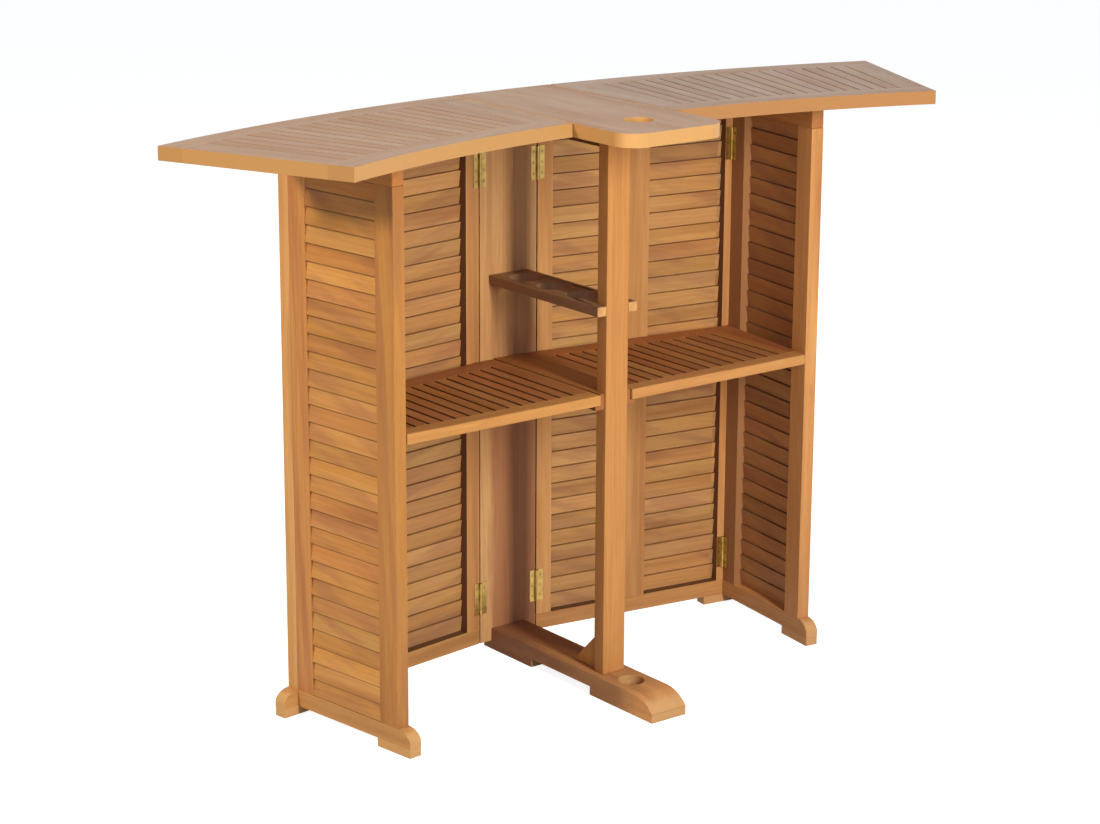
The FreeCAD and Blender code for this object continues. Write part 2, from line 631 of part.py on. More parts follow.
def build_centre_top():
    """The centre board: a straight tongue towards the server with round corners and a pole hole."""
    half = TONGUE_HALF_WIDTH - LEAF_JOINT_GAP / 2
    board = box(-half, half, TONGUE_FRONT_Y, FAR_ARC_Y, TOP_UNDERSIDE, TOP_HEIGHT)
    corners = [
        edge for edge in board.Edges
        if edge.BoundBox.YMax < POLE_Y and edge.BoundBox.ZLength > TOP_THICK / 2
    ]
    board = board.makeFillet(TONGUE_CORNER_RADIUS, corners)
    board = board.common(disc(FAR_ARC_RADIUS, FAR_CENTRE, TOP_UNDERSIDE, TOP_HEIGHT))
    cuts = [disc(POLE_HOLE_RADIUS, V(0, POLE_Y, 0), TOP_UNDERSIDE, TOP_HEIGHT)]
    cuts += both_sides([joint_groove()] + at_leaf_joint([slim_recess()], True))
    for cut in cuts:
        board = board.cut(cut)
    export("centre_top", board.Solids)


def sector(angle0, angle1):
    """A wedge about the fan centre between two angles from the Y axis, as high as the top."""
    reach = 2 * FAR_ARC_RADIUS
    points = [(FAN_CENTRE.x, FAN_CENTRE.y)]
    for angle in (angle0, angle1):
        turn = math.radians(angle)
        points.append((FAN_CENTRE.x + reach * math.sin(turn), FAN_CENTRE.y + reach * math.cos(turn)))
    return prism(points, TOP_UNDERSIDE, TOP_HEIGHT)


def build_leaves():
    """Two curved leaves: rims, end rails and a fan of slats."""
    inner_x = TONGUE_HALF_WIDTH + LEAF_JOINT_GAP / 2
    reach = FAR_ARC_RADIUS
    beside = box(inner_x, inner_x + reach, -reach, reach, TOP_UNDERSIDE, TOP_HEIGHT)
    outline = disc(FAR_ARC_RADIUS, FAR_CENTRE, TOP_UNDERSIDE, TOP_HEIGHT)
    outline = outline.cut(disc(NEAR_ARC_RADIUS, NEAR_CENTRE, TOP_UNDERSIDE, TOP_HEIGHT))
    outline = outline.common(sector(0, LEAF_END_ANGLE)).common(beside)
    far_core = disc(FAR_ARC_RADIUS - FAR_RIM_WIDTH, FAR_CENTRE, TOP_UNDERSIDE, TOP_HEIGHT)
    near_core = disc(NEAR_ARC_RADIUS + NEAR_RIM_WIDTH, NEAR_CENTRE, TOP_UNDERSIDE, TOP_HEIGHT)
    recesses = [joint_groove()] + at_leaf_joint([slim_recess()], False)
    far_rim = outline.cut(far_core)
    near_rim = outline.common(near_core)
    field = outline.common(far_core).cut(near_core)

    middle_radius = (LEAF_END_FAR_X + LEAF_END_NEAR_X) / 2 / math.sin(math.radians(LEAF_END_ANGLE))
    end_start = LEAF_END_ANGLE - math.degrees(END_RAIL_WIDTH / middle_radius)
    half_gap = math.degrees(LEAF_SLAT_GAP / middle_radius) / 2
    step = (end_start - INNER_RAIL_ANGLE) / LEAF_SLAT_COUNT
    inner_rail = field.common(sector(0, INNER_RAIL_ANGLE - half_gap))
    end_rail = field.common(sector(end_start + half_gap, LEAF_END_ANGLE))
    slats = []
    for index in range(LEAF_SLAT_COUNT):
        low = INNER_RAIL_ANGLE + index * step + half_gap
        slats += field.common(sector(low, low + step - 2 * half_gap)).Solids

    def recessed(solid):
        """A leaf piece with the joint's groove and hinge recesses cut from it."""
        for recess in recesses:
            solid = solid.cut(recess)
        return solid.Solids

    export_pair("leaf_far_rim", recessed(far_rim))
    export_pair("leaf_near_rim", recessed(near_rim))
    export_pair("leaf_end_rails", recessed(inner_rail) + end_rail.Solids)
    export_pair("leaf_slats", slats)

    fixed_zones = range(0, HINGE_KNUCKLES, 2)
    moving_zones = range(1, HINGE_KNUCKLES, 2)
    pin = Part.makeCylinder(SLIM_PIN_RADIUS, SLIM_LENGTH, V(0, -SLIM_LENGTH / 2, 0), ALONG_Y)
    export_pair("leaf_hinge_leaves", at_leaf_joint([slim_leaf(moving_zones)], False))
    export("leaf_hinge_fixed_leaves", both_sides(at_leaf_joint([slim_leaf(fixed_zones)], True)))
    export("leaf_hinge_pins", both_sides(at_leaf_joint([pin], False)))


os.makedirs("parts", exist_ok=True)
build_centre_frame()
build_wings()
build_shelves()
build_centre_top()
build_leaves()
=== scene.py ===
"""Looks of a folding bar table in oiled teak with brass hinges, on a pale studio floor.

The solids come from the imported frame. This script gives each of them soft edges and a wood or
metal finish, and sets the camera and the lights.
"""

from __future__ import annotations

import logging
import math
from dataclasses import dataclass, replace
from enum import Enum

import bpy
from mathutils import Matrix, Vector


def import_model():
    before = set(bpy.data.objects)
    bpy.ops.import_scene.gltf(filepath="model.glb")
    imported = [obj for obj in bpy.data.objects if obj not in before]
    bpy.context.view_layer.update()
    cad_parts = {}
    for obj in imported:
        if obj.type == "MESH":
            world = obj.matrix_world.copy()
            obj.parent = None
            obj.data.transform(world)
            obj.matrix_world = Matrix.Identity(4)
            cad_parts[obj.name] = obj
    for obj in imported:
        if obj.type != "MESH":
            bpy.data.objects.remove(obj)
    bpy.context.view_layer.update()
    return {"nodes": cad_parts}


LOG = logging.getLogger("bar_table")
IMAGE_WIDTH_PX = 1100.0
SENSOR_WIDTH_MM = 36.0
CLIP_END = 200.0

Colour = tuple[float, float, float]
Triple = tuple[float, float, float]
Socket = bpy.types.NodeSocket
Laid = tuple[Socket, Socket, Socket, Socket]


class Side(Enum):
    """The two mirror-image halves of the table, by the sign of X."""

    LEFT = -1
    RIGHT = 1

    @property
    def label(self) -> str:
        """The word that starts the names of this side's pieces."""
        return self.name.lower()


class Edge(Enum):
    """How far the arrises of a piece are eased, in metres."""

    BOARD = 0.0018
    FOOT = 0.0009
    SLAT = 0.0007
    METAL = 0.00025


class Salt(Enum):
    """Offsets that keep the random values of one board apart."""

    ALONG = 0.3
    ACROSS = 11.3
    THROUGH = 23.3
    AMBER = 37.1
    STRAW = 51.7
    ROSE = 63.3
    LIGHTNESS = 71.9
    HUE = 83.3


class NodeBench:
    """A short way to add and join shader nodes in one material."""

    def __init__(self, name: str) -> None:
        """Start an empty material.

        Args:
            name: Name of the new material.
        """
        self.material = bpy.data.materials.new(name)
        self.material.use_nodes = True
        self.tree = self.material.node_tree
        self.tree.nodes.clear()

    def add(self, kind: str, inputs: dict | None = None, **settings: object) -> bpy.types.Node:
        """Add a node.

        Args:
            kind: Node type without its ShaderNode prefix.
            inputs: Socket name or index to a value or to another node's output.
            settings: Node properties.

        Returns:
            The new node.
        """
        node = self.tree.nodes.new("ShaderNode" + kind)
        for key, value in settings.items():
            setattr(node, key, value)
        for key, value in (inputs or {}).items():
            self.feed(node.inputs[key], value)
        return node

    def feed(self, socket: Socket, value: object) -> None:
        """Link an output to a socket, or set the socket's own value."""
        if isinstance(value, bpy.types.NodeSocket):
            self.tree.links.new(value, socket)
        else:
            socket.default_value = value

    def maths(self, operation: str, *values: object, clamp: bool = False) -> Socket:
        """A Math node over values or outputs.

        Args:
            operation: Blender's name of the operation.
            values: One to three numbers or outputs.
            clamp: Whether the result is held between 0 and 1.

        Returns:
            The result's output.
        """
        node = self.add("Math", dict(enumerate(values)), operation=operation, use_clamp=clamp)
        return node.outputs[0]

    def dot(self, vector: Socket, axis: Triple | Socket) -> Socket:
        """The length of a vector along an axis."""
        node = self.add("VectorMath", {0: vector, 1: axis}, operation="DOT_PRODUCT")
        return node.outputs["Value"]

    def combine(self, x: object, y: object, z: object) -> Socket:
        """A vector from three numbers."""
        return self.add("CombineXYZ", {0: x, 1: y, 2: z}).outputs[0]

    def stretched(self, vector: Socket, scale: Triple) -> Socket:
        """A vector times a scale on each axis."""
        node = self.add("VectorMath", {0: vector, 1: scale}, operation="MULTIPLY")
        return node.outputs["Vector"]

    def noise(self, vector: Socket, detail: float = 3.0, roughness: float = 0.55) -> Socket:
        """Soft fractal noise between 0 and 1 at a scale of 1."""
        node = self.add(
            "TexNoise", {"Vector": vector, "Scale": 1.0, "Detail": detail, "Roughness": roughness}
        )
        return node.outputs["Fac"]

    def chance(self, number: Socket, salt: Salt) -> Socket:
        """A random value between 0 and 1 for each whole number."""
        seed = self.maths("ADD", number, salt.value)
        return self.add("TexWhiteNoise", {"W": seed}, noise_dimensions="1D").outputs["Value"]

    def between(
        self, value: Socket, low: float, high: float, to_low: float = 0.0, to_high: float = 1.0
    ) -> Socket:
        """A value moved from one range to another and held there."""
        ranges = {"From Min": low, "From Max": high, "To Min": to_low, "To Max": to_high}
        return self.add("MapRange", {"Value": value, **ranges}).outputs["Result"]

    def mixed(self, factor: object, first: object, second: object) -> Socket:
        """A mix of two colours, each a colour or an output."""
        node = self.add("Mix", data_type="RGBA")
        self.feed(node.inputs["Factor"], factor)
        for name, value in (("A", first), ("B", second)):
            socket = next(s for s in node.inputs if s.name == name and s.type == "RGBA")
            self.feed(socket, (*value, 1.0) if isinstance(value, tuple) else value)
        return next(s for s in node.outputs if s.type == "RGBA")

    def finish(self, shader: bpy.types.Node) -> bpy.types.Material:
        """Join a shader to the material's surface."""
        output = self.add("OutputMaterial")
        self.tree.links.new(shader.outputs[0], output.inputs["Surface"])
        return self.material


@dataclass(frozen=True)
class BoardRow:
    """Boards laid side by side at one pitch, so that each gets a number of its own.

    Args:
        axis: Direction in which the boards follow one another.
        start: Where the first board begins along that axis, in metres.
        pitch: Distance from one board to the next, in metres.
    """

    SOFT_START = 1.3

    axis: Triple
    start: float
    pitch: float

    def count(self, bench: NodeBench, place: Socket) -> Socket:
        """How many boards lie before a place, with the part of a board."""
        along = bench.maths("SUBTRACT", bench.dot(place, self.axis), self.start)
        return bench.maths("DIVIDE", along, self.pitch)

    def number(self, bench: NodeBench, place: Socket) -> Socket:
        """The whole number of the board at a place."""
        return bench.maths("FLOOR", self.count(bench, place))

    def lap(self, bench: NodeBench, place: Socket, depth: float) -> Socket:
        """1 along the last stretch of each board, where the next one laps over it and a shadow is
        painted.

        Args:
            bench: The material's bench.
            place: Place on the piece, in metres.
            depth: Width of that stretch, in metres.

        Returns:
            The share, with a soft start.
        """
        part = bench.maths("FRACT", self.count(bench, place))
        share = depth / self.pitch
        return bench.between(part, 1.0 - self.SOFT_START * share, 1.0 - share)


@dataclass(frozen=True)
class StraightGrain:
    """Grain that runs straight along a piece.

    Args:
        along: Direction of the grain.
        across: Direction across the face that shows most.
        rows: How the boards of a group follow one another.
        seed: Picks the board from 0 to 1, for pieces that are cut from one; 0 leaves it to chance.
        outside: Outer side of lapped boards, where a shadow is painted under each lip.
        lip: Depth of that painted shadow, in metres.
        dirty_to: Direction and place along it up to which shade is painted on the long edges.
    """

    ROW_WEIGHTS = (1.0, 41.0, 97.0)
    FACING_BAND = (0.4, 0.6)

    along: Triple
    across: Triple
    rows: tuple[BoardRow, ...] = ()
    seed: float = 0.0
    outside: Triple | None = None
    lip: float = 0.0022
    dirty_to: tuple[Triple, float] | None = None

    def lay(self, bench: NodeBench, place: Socket, normal: Socket) -> Laid:
        """Wood coordinates, the board's number and how a face lies to the grain.

        Args:
            bench: The material's bench.
            place: Place on the piece, in metres.
            normal: Direction of the surface.

        Returns:
            Coordinates along, across and through the wood, the board's number, and how square the
            face is to the grain and to the board's edge.
        """
        through = tuple(Vector(self.along).cross(Vector(self.across)))
        wood = bench.combine(
            bench.dot(place, self.along), bench.dot(place, self.across), bench.dot(place, through)
        )
        number = bench.maths("ADD", 0.0, 0.0)
        for weight, row in zip(self.ROW_WEIGHTS, self.rows):
            number = bench.maths("MULTIPLY_ADD", row.number(bench, place), weight, number)
        end_share = bench.maths("ABSOLUTE", bench.dot(normal, self.along))
        edge_share = bench.maths("ABSOLUTE", bench.dot(normal, self.across))
        # Painted shadow: a dark band on each slat's outer face just under the slat above.
        if self.outside:
            facing = bench.between(bench.dot(normal, self.outside), *self.FACING_BAND)
            lip_shadow = bench.maths("MULTIPLY", facing, self.rows[0].lap(bench, place, self.lip))
            edge_share = bench.maths("MAXIMUM", edge_share, lip_shadow)
        # The painted edge shade stops at this place.
        if self.dirty_to:
            axis, end = self.dirty_to
            inside = bench.maths("LESS_THAN", bench.dot(place, axis), end)
            edge_share = bench.maths("MULTIPLY", edge_share, inside)
        return wood, number, end_share, edge_share


@dataclass(frozen=True)
class RoundGrain:
    """Grain on a plan about a centre: around it on a bent rim, or away from it on a fan of slats.

    Args:
        centre_y: Y of the centre, which lies on the table's middle line.
        radius: Distance from the centre at which sizes are true.
        fanned: Whether the grain runs away from the centre.
        start: Angle from the middle line at which the first board begins, in radians.
        step: Angle from one board to the next, in radians.
        seed: Picks the board from 0 to 1, for pieces that are cut from one; 0 leaves it to chance.
    """

    centre_y: float
    radius: float
    fanned: bool
    start: float
    step: float
    seed: float = 0.0

    def lay(self, bench: NodeBench, place: Socket, normal: Socket) -> Laid:
        """Wood coordinates, the board's number and how a face lies to the grain.

        Args:
            bench: The material's bench.
            place: Place on the piece, in metres.
            normal: Direction of the surface.

        Returns:
            Coordinates along, across and through the wood, the board's number, and how square the
            face is to the grain and to the board's edge.
        """
        split = bench.add("SeparateXYZ", {0: place})
        x, z = split.outputs["X"], split.outputs["Z"]
        y = bench.maths("SUBTRACT", split.outputs["Y"], self.centre_y)
        angle = bench.maths("ARCTAN2", x, y)
        squares = bench.maths("MULTIPLY_ADD", x, x, bench.maths("MULTIPLY", y, y))
        reach = bench.maths("SQRT", squares)
        sweep = bench.maths("MULTIPLY", angle, self.radius)
        outward = bench.maths("SUBTRACT", reach, self.radius)
        pair = (outward, sweep) if self.fanned else (sweep, outward)
        past_start = bench.maths("SUBTRACT", bench.maths("ABSOLUTE", angle), self.start)
        steps = bench.maths("DIVIDE", past_start, self.step)
        sine, cosine = bench.maths("SINE", angle), bench.maths("COSINE", angle)
        radial = bench.maths("ABSOLUTE", bench.dot(normal, bench.combine(sine, cosine, 0.0)))
        around = bench.combine(cosine, bench.maths("MULTIPLY", sine, -1.0), 0.0)
        tangential = bench.maths("ABSOLUTE", bench.dot(normal, around))
        shares = (radial, tangential) if self.fanned else (tangential, radial)
        return bench.combine(*pair, z), bench.maths("FLOOR", steps), *shares


Grain = StraightGrain | RoundGrain


@dataclass(frozen=True)
class Heartwood:
    """A dark patch painted on part of one board: shade where other parts keep the light off, on
    the plank partly darker heartwood.

    Args:
        along: From the full dark patch to none, along the grain, in metres.
        across: From none to the full dark patch, across the grain, in metres.
        colour: Colour of the dark patch.
        wander: How far its border wanders, in metres.
    """

    WHOLE_LENGTH = (10.0, 11.0)
    WHOLE_WIDTH = (-1.0, -0.9)
    DRIFT_SCALE = (5.0, 30.0, 30.0)
    DRIFT_BAND = (0.3, 0.7)
    DRIFT_ALONG = 3.0
    DRIFT_ACROSS = 0.3

    along: tuple[float, float]
    across: tuple[float, float]
    colour: Colour
    wander: float = 0.03

    def share(self, bench: NodeBench, wood: Socket) -> Socket:
        """How much of the dark patch shows at a place.

        Args:
            bench: The material's bench.
            wood: Place along and across the grain.

        Returns:
            The share, from 0 to 1.
        """
        split = bench.add("SeparateXYZ", {0: wood})
        drift = bench.noise(bench.stretched(wood, self.DRIFT_SCALE))
        drift = bench.between(drift, *self.DRIFT_BAND, -self.wander, self.wander)
        length = bench.maths("MULTIPLY_ADD", drift, self.DRIFT_ALONG, split.outputs["X"])
        width = bench.maths("MULTIPLY_ADD", drift, self.DRIFT_ACROSS, split.outputs["Y"])
        lower = bench.between(length, *self.along, 1.0, 0.0)
        return bench.maths("MULTIPLY", lower, bench.between(width, *self.across))


@dataclass(frozen=True)
class TeakMarks:
    """What is drawn on the boards of one piece, each an output from 0 to 1.

    Args:
        clouds: Slow change of the ground colour, which also bends the growth lines.
        streaks: Heartwood streaks.
        rings: Growth lines.
        fibres: Fine fibres.
        pores: Open pores.
    """

    CLOUD_SCALE = (2.4, 21.0, 21.0)
    STREAK_SCALE = (1.5, 30.0, 22.0)
    FIBRE_SCALE = (9.0, 420.0, 420.0)
    PORE_SCALE = (34.0, 1300.0, 1300.0)
    STREAK_BAND = (0.50, 0.70)
    PORE_BAND = (0.60, 0.74)
    RINGS_PER_METRE = 95.0
    RING_LEAN = 0.55
    RING_BEND = 5.2
    RING_SHARPNESS = 2.2

    clouds: Socket
    streaks: Socket
    rings: Socket
    fibres: Socket
    pores: Socket

    @classmethod
    def draw(cls, bench: NodeBench, wood: Socket) -> TeakMarks:
        """Draw the marks.

        Args:
            bench: The material's bench.
            wood: Place along, across and through the board, in metres.

        Returns:
            The marks.
        """
        clouds = bench.noise(bench.stretched(wood, cls.CLOUD_SCALE), 4.0)
        streaks = bench.noise(bench.stretched(wood, cls.STREAK_SCALE), 2.0)
        split = bench.add("SeparateXYZ", {0: wood})
        across = bench.maths("MULTIPLY_ADD", split.outputs["Z"], cls.RING_LEAN, split.outputs["Y"])
        turns = bench.maths("MULTIPLY", across, cls.RINGS_PER_METRE)
        turns = bench.maths("MULTIPLY_ADD", clouds, cls.RING_BEND, turns)
        wave = bench.maths("SINE", bench.maths("MULTIPLY", turns, math.tau))
        wave = bench.maths("MULTIPLY_ADD", wave, 0.5, 0.5)
        fibres = bench.noise(bench.stretched(wood, cls.FIBRE_SCALE), 2.0, 0.7)
        pores = bench.noise(bench.stretched(wood, cls.PORE_SCALE), 1.0)
        return cls(
            clouds=clouds,
            streaks=bench.between(streaks, *cls.STREAK_BAND),
            rings=bench.maths("POWER", wave, cls.RING_SHARPNESS),
            fibres=fibres,
            pores=bench.between(pores, *cls.PORE_BAND),
        )


@dataclass(frozen=True)
class TeakFinish:
    """Oiled teak: honey ground, darker growth lines, heartwood streaks, open pores and painted
    shade and light.

    Args:
        honey: Ground colour of most boards.
        amber: Ground colour of a warm board.
        umber: Colour of growth lines and heartwood.
        straw: Pale golden ground of some boards.
        rose: Pinkish brown ground of a few boards.
        soot: Colour painted on the long edges: gap shade, or a lighter tone on lit top edges.
        board_spread: How much boards of one group differ in lightness.
        mixed_boards: How far boards of one group differ in colour, from 0 to 1.
        streaks: Strength of the heartwood streaks.
        patches: Strength of brown patches within a board, with slanting borders.
        patch_pitch: How many of those patches follow one another in a metre of board.
        end_grain: How far the wood turns to its end tone across the grain.
        end_tone: Colour of the wood across the grain.
        groove: How far the long edges are painted that colour.
        gloss_low: Roughness of the smoothest oiled wood.
        gloss_high: Roughness of dry, open wood.
        shine: Specular level of the oil.
        heart: A dark patch painted on part of the board: shade, partly heartwood on the plank.
    """

    # How many pieces can differ, the step between their board numbers, the figure's random shift.
    PIECES = 500.0
    PIECE_STEP = 7.0
    SHIFT = 9.0
    CLOUD_BAND = (0.34, 0.68)
    CLOUD_DEPTH = 0.85
    PATCH_BAND = (0.48, 0.62)
    PATCHES_ACROSS = 26.0
    PATCH_SLANT = 1.4
    RING_TONE = 0.11
    FIBRE_BAND = (0.35, 0.75)
    FIBRE_TONE = 0.15
    PORE_TONE = 0.25
    END_BAND = (0.35, 0.55)
    EDGE_BAND = (0.35, 0.75)
    LIGHTER = 0.6
    HUE_DOWN = 0.008
    HUE_UP = 0.006
    GLOSS_BAND = (0.3, 0.7)
    RING_ROUGHNESS = 0.05
    PORE_ROUGHNESS = 0.12
    FIBRE_RELIEF = 0.5
    PORE_RELIEF = -0.8
    BUMP = {"Strength": 0.22, "Distance": 0.0004}

    honey: Colour = (0.660, 0.314, 0.091)
    amber: Colour = (0.500, 0.208, 0.053)
    umber: Colour = (0.260, 0.090, 0.030)
    straw: Colour = (0.620, 0.335, 0.115)
    rose: Colour = (0.490, 0.215, 0.085)
    soot: Colour = (0.045, 0.022, 0.012)
    board_spread: float = 0.08
    mixed_boards: float = 0.6
    streaks: float = 0.40
    patches: float = 0.0
    patch_pitch: float = 5.0
    end_grain: float = 0.30
    end_tone: Colour = (0.260, 0.090, 0.030)
    groove: float = 0.0
    gloss_low: float = 0.40
    gloss_high: float = 0.60
    shine: float = 0.12
    heart: Heartwood | None = None

    def material(self, name: str, grain: Grain) -> bpy.types.Material:
        """Make the finish for one way the grain runs.

        Args:
            name: Name of the material.
            grain: How the grain runs and how boards follow one another.

        Returns:
            The new material.
        """
        bench = NodeBench(name)
        coordinates = bench.add("TexCoord")
        place, normal = coordinates.outputs["Object"], coordinates.outputs["Normal"]
        wood, number, end_share, edge_share = grain.lay(bench, place, normal)
        piece = grain.seed or bench.add("ObjectInfo").outputs["Random"]
        piece = bench.maths("FLOOR", bench.maths("MULTIPLY", piece, self.PIECES))
        number = bench.maths("MULTIPLY_ADD", piece, self.PIECE_STEP, number)
        shift = bench.combine(
            *(
                bench.maths("MULTIPLY", bench.chance(number, salt), self.SHIFT)
                for salt in (Salt.ALONG, Salt.ACROSS, Salt.THROUGH)
            )
        )
        shifted = bench.add("VectorMath", {0: wood, 1: shift}, operation="ADD").outputs["Vector"]
        marks = TeakMarks.draw(bench, shifted)
        ground = self.board_ground(bench, number, shifted, marks)
        # Painted shade: a dark patch where other parts keep the light off, partly darker heartwood
        # on the plank.
        if self.heart:
            ground = bench.mixed(self.heart.share(bench, wood), ground, self.heart.colour)
        ground = self.marked(bench, ground, marks)
        if self.end_grain:
            ends = bench.between(end_share, *self.END_BAND, 0.0, self.end_grain)
            ground = bench.mixed(ends, ground, self.end_tone)
        # Painted edge tone: shade in gaps, reveals and under lips; a lighter tone on lit edges of
        # the top.
        if self.groove:
            edges = bench.between(edge_share, *self.EDGE_BAND, 0.0, self.groove)
            ground = bench.mixed(edges, ground, self.soot)
        return bench.finish(self.surface(bench, self.varied(bench, ground, number), marks))

    def board_ground(
        self, bench: NodeBench, number: Socket, wood: Socket, marks: TeakMarks
    ) -> Socket:
        """The ground colour of a board, before its dark patch and its marks.

        Args:
            bench: The material's bench.
            number: The board's number.
            wood: Place along, across and through the board.
            marks: What is drawn on the boards.

        Returns:
            The colour's output.
        """
        clouds = bench.between(marks.clouds, *self.CLOUD_BAND, 0.0, self.CLOUD_DEPTH)
        ground = bench.mixed(clouds, self.honey, self.amber)
        for salt, start, depth, colour in (
            (Salt.STRAW, 0.45, 0.9, self.straw),
            (Salt.ROSE, 0.7, 0.8, self.rose),
            (Salt.AMBER, 0.55, 0.6, self.amber),
        ):
            draw = bench.chance(number, salt)
            share = bench.between(draw, start, 1.0, 0.0, depth * self.mixed_boards)
            ground = bench.mixed(share, ground, colour)
        if self.patches:
            pitch, across = self.patch_pitch, self.PATCHES_ACROSS
            slanted = bench.combine(
                bench.dot(wood, (pitch, 0.0, 0.0)),
                bench.dot(wood, (self.PATCH_SLANT * pitch, across, 0.0)),
                bench.dot(wood, (0.0, 0.0, across)),
            )
            patch = bench.between(bench.noise(slanted, 2.5), *self.PATCH_BAND, 0.0, self.patches)
            ground = bench.mixed(patch, ground, self.rose)
        return ground

    def marked(self, bench: NodeBench, ground: Socket, marks: TeakMarks) -> Socket:
        """The ground with streaks, growth lines, fibres and pores drawn on it."""
        shares = (
            bench.maths("MULTIPLY", marks.streaks, self.streaks),
            bench.maths("MULTIPLY", marks.rings, self.RING_TONE),
            bench.between(marks.fibres, *self.FIBRE_BAND, 0.0, self.FIBRE_TONE),
            bench.maths("MULTIPLY", marks.pores, self.PORE_TONE),
        )
        for share in shares:
            ground = bench.mixed(share, ground, self.umber)
        return ground

    def varied(self, bench: NodeBench, ground: Socket, number: Socket) -> Socket:
        """The ground a little lighter, darker, redder or yellower from board to board."""
        dark, light = 1.0 - self.board_spread, 1.0 + self.LIGHTER * self.board_spread
        redder, yellower = self.HUE_DOWN * self.mixed_boards, self.HUE_UP * self.mixed_boards
        lightness = bench.chance(number, Salt.LIGHTNESS)
        hue = bench.chance(number, Salt.HUE)
        changes = {
            "Hue": bench.between(hue, 0.0, 1.0, 0.5 - redder, 0.5 + yellower),
            "Saturation": 1.0,
            "Value": bench.between(lightness, 0.0, 1.0, dark, light),
        }
        return bench.add("HueSaturation", {**changes, "Color": ground}).outputs["Color"]

    def surface(self, bench: NodeBench, colour: Socket, marks: TeakMarks) -> bpy.types.Node:
        """The oiled surface, with its gloss and its fine relief.

        Args:
            bench: The material's bench.
            colour: Colour of the wood.
            marks: What is drawn on the boards.

        Returns:
            The shader.
        """
        rough = bench.between(marks.clouds, *self.GLOSS_BAND, self.gloss_low, self.gloss_high)
        rough = bench.maths("MULTIPLY_ADD", marks.rings, self.RING_ROUGHNESS, rough)
        rough = bench.maths("MULTIPLY_ADD", marks.pores, self.PORE_ROUGHNESS, rough, clamp=True)
        relief = bench.maths("MULTIPLY_ADD", marks.fibres, self.FIBRE_RELIEF, marks.rings)
        relief = bench.maths("MULTIPLY_ADD", marks.pores, self.PORE_RELIEF, relief)
        normal = bench.add("Bump", {**self.BUMP, "Height": relief}).outputs["Normal"]
        shader = bench.add(
            "BsdfPrincipled", {"Base Color": colour, "Roughness": rough, "Normal": normal}
        )
        shader.inputs["Specular IOR Level"].default_value = self.shine
        return shader


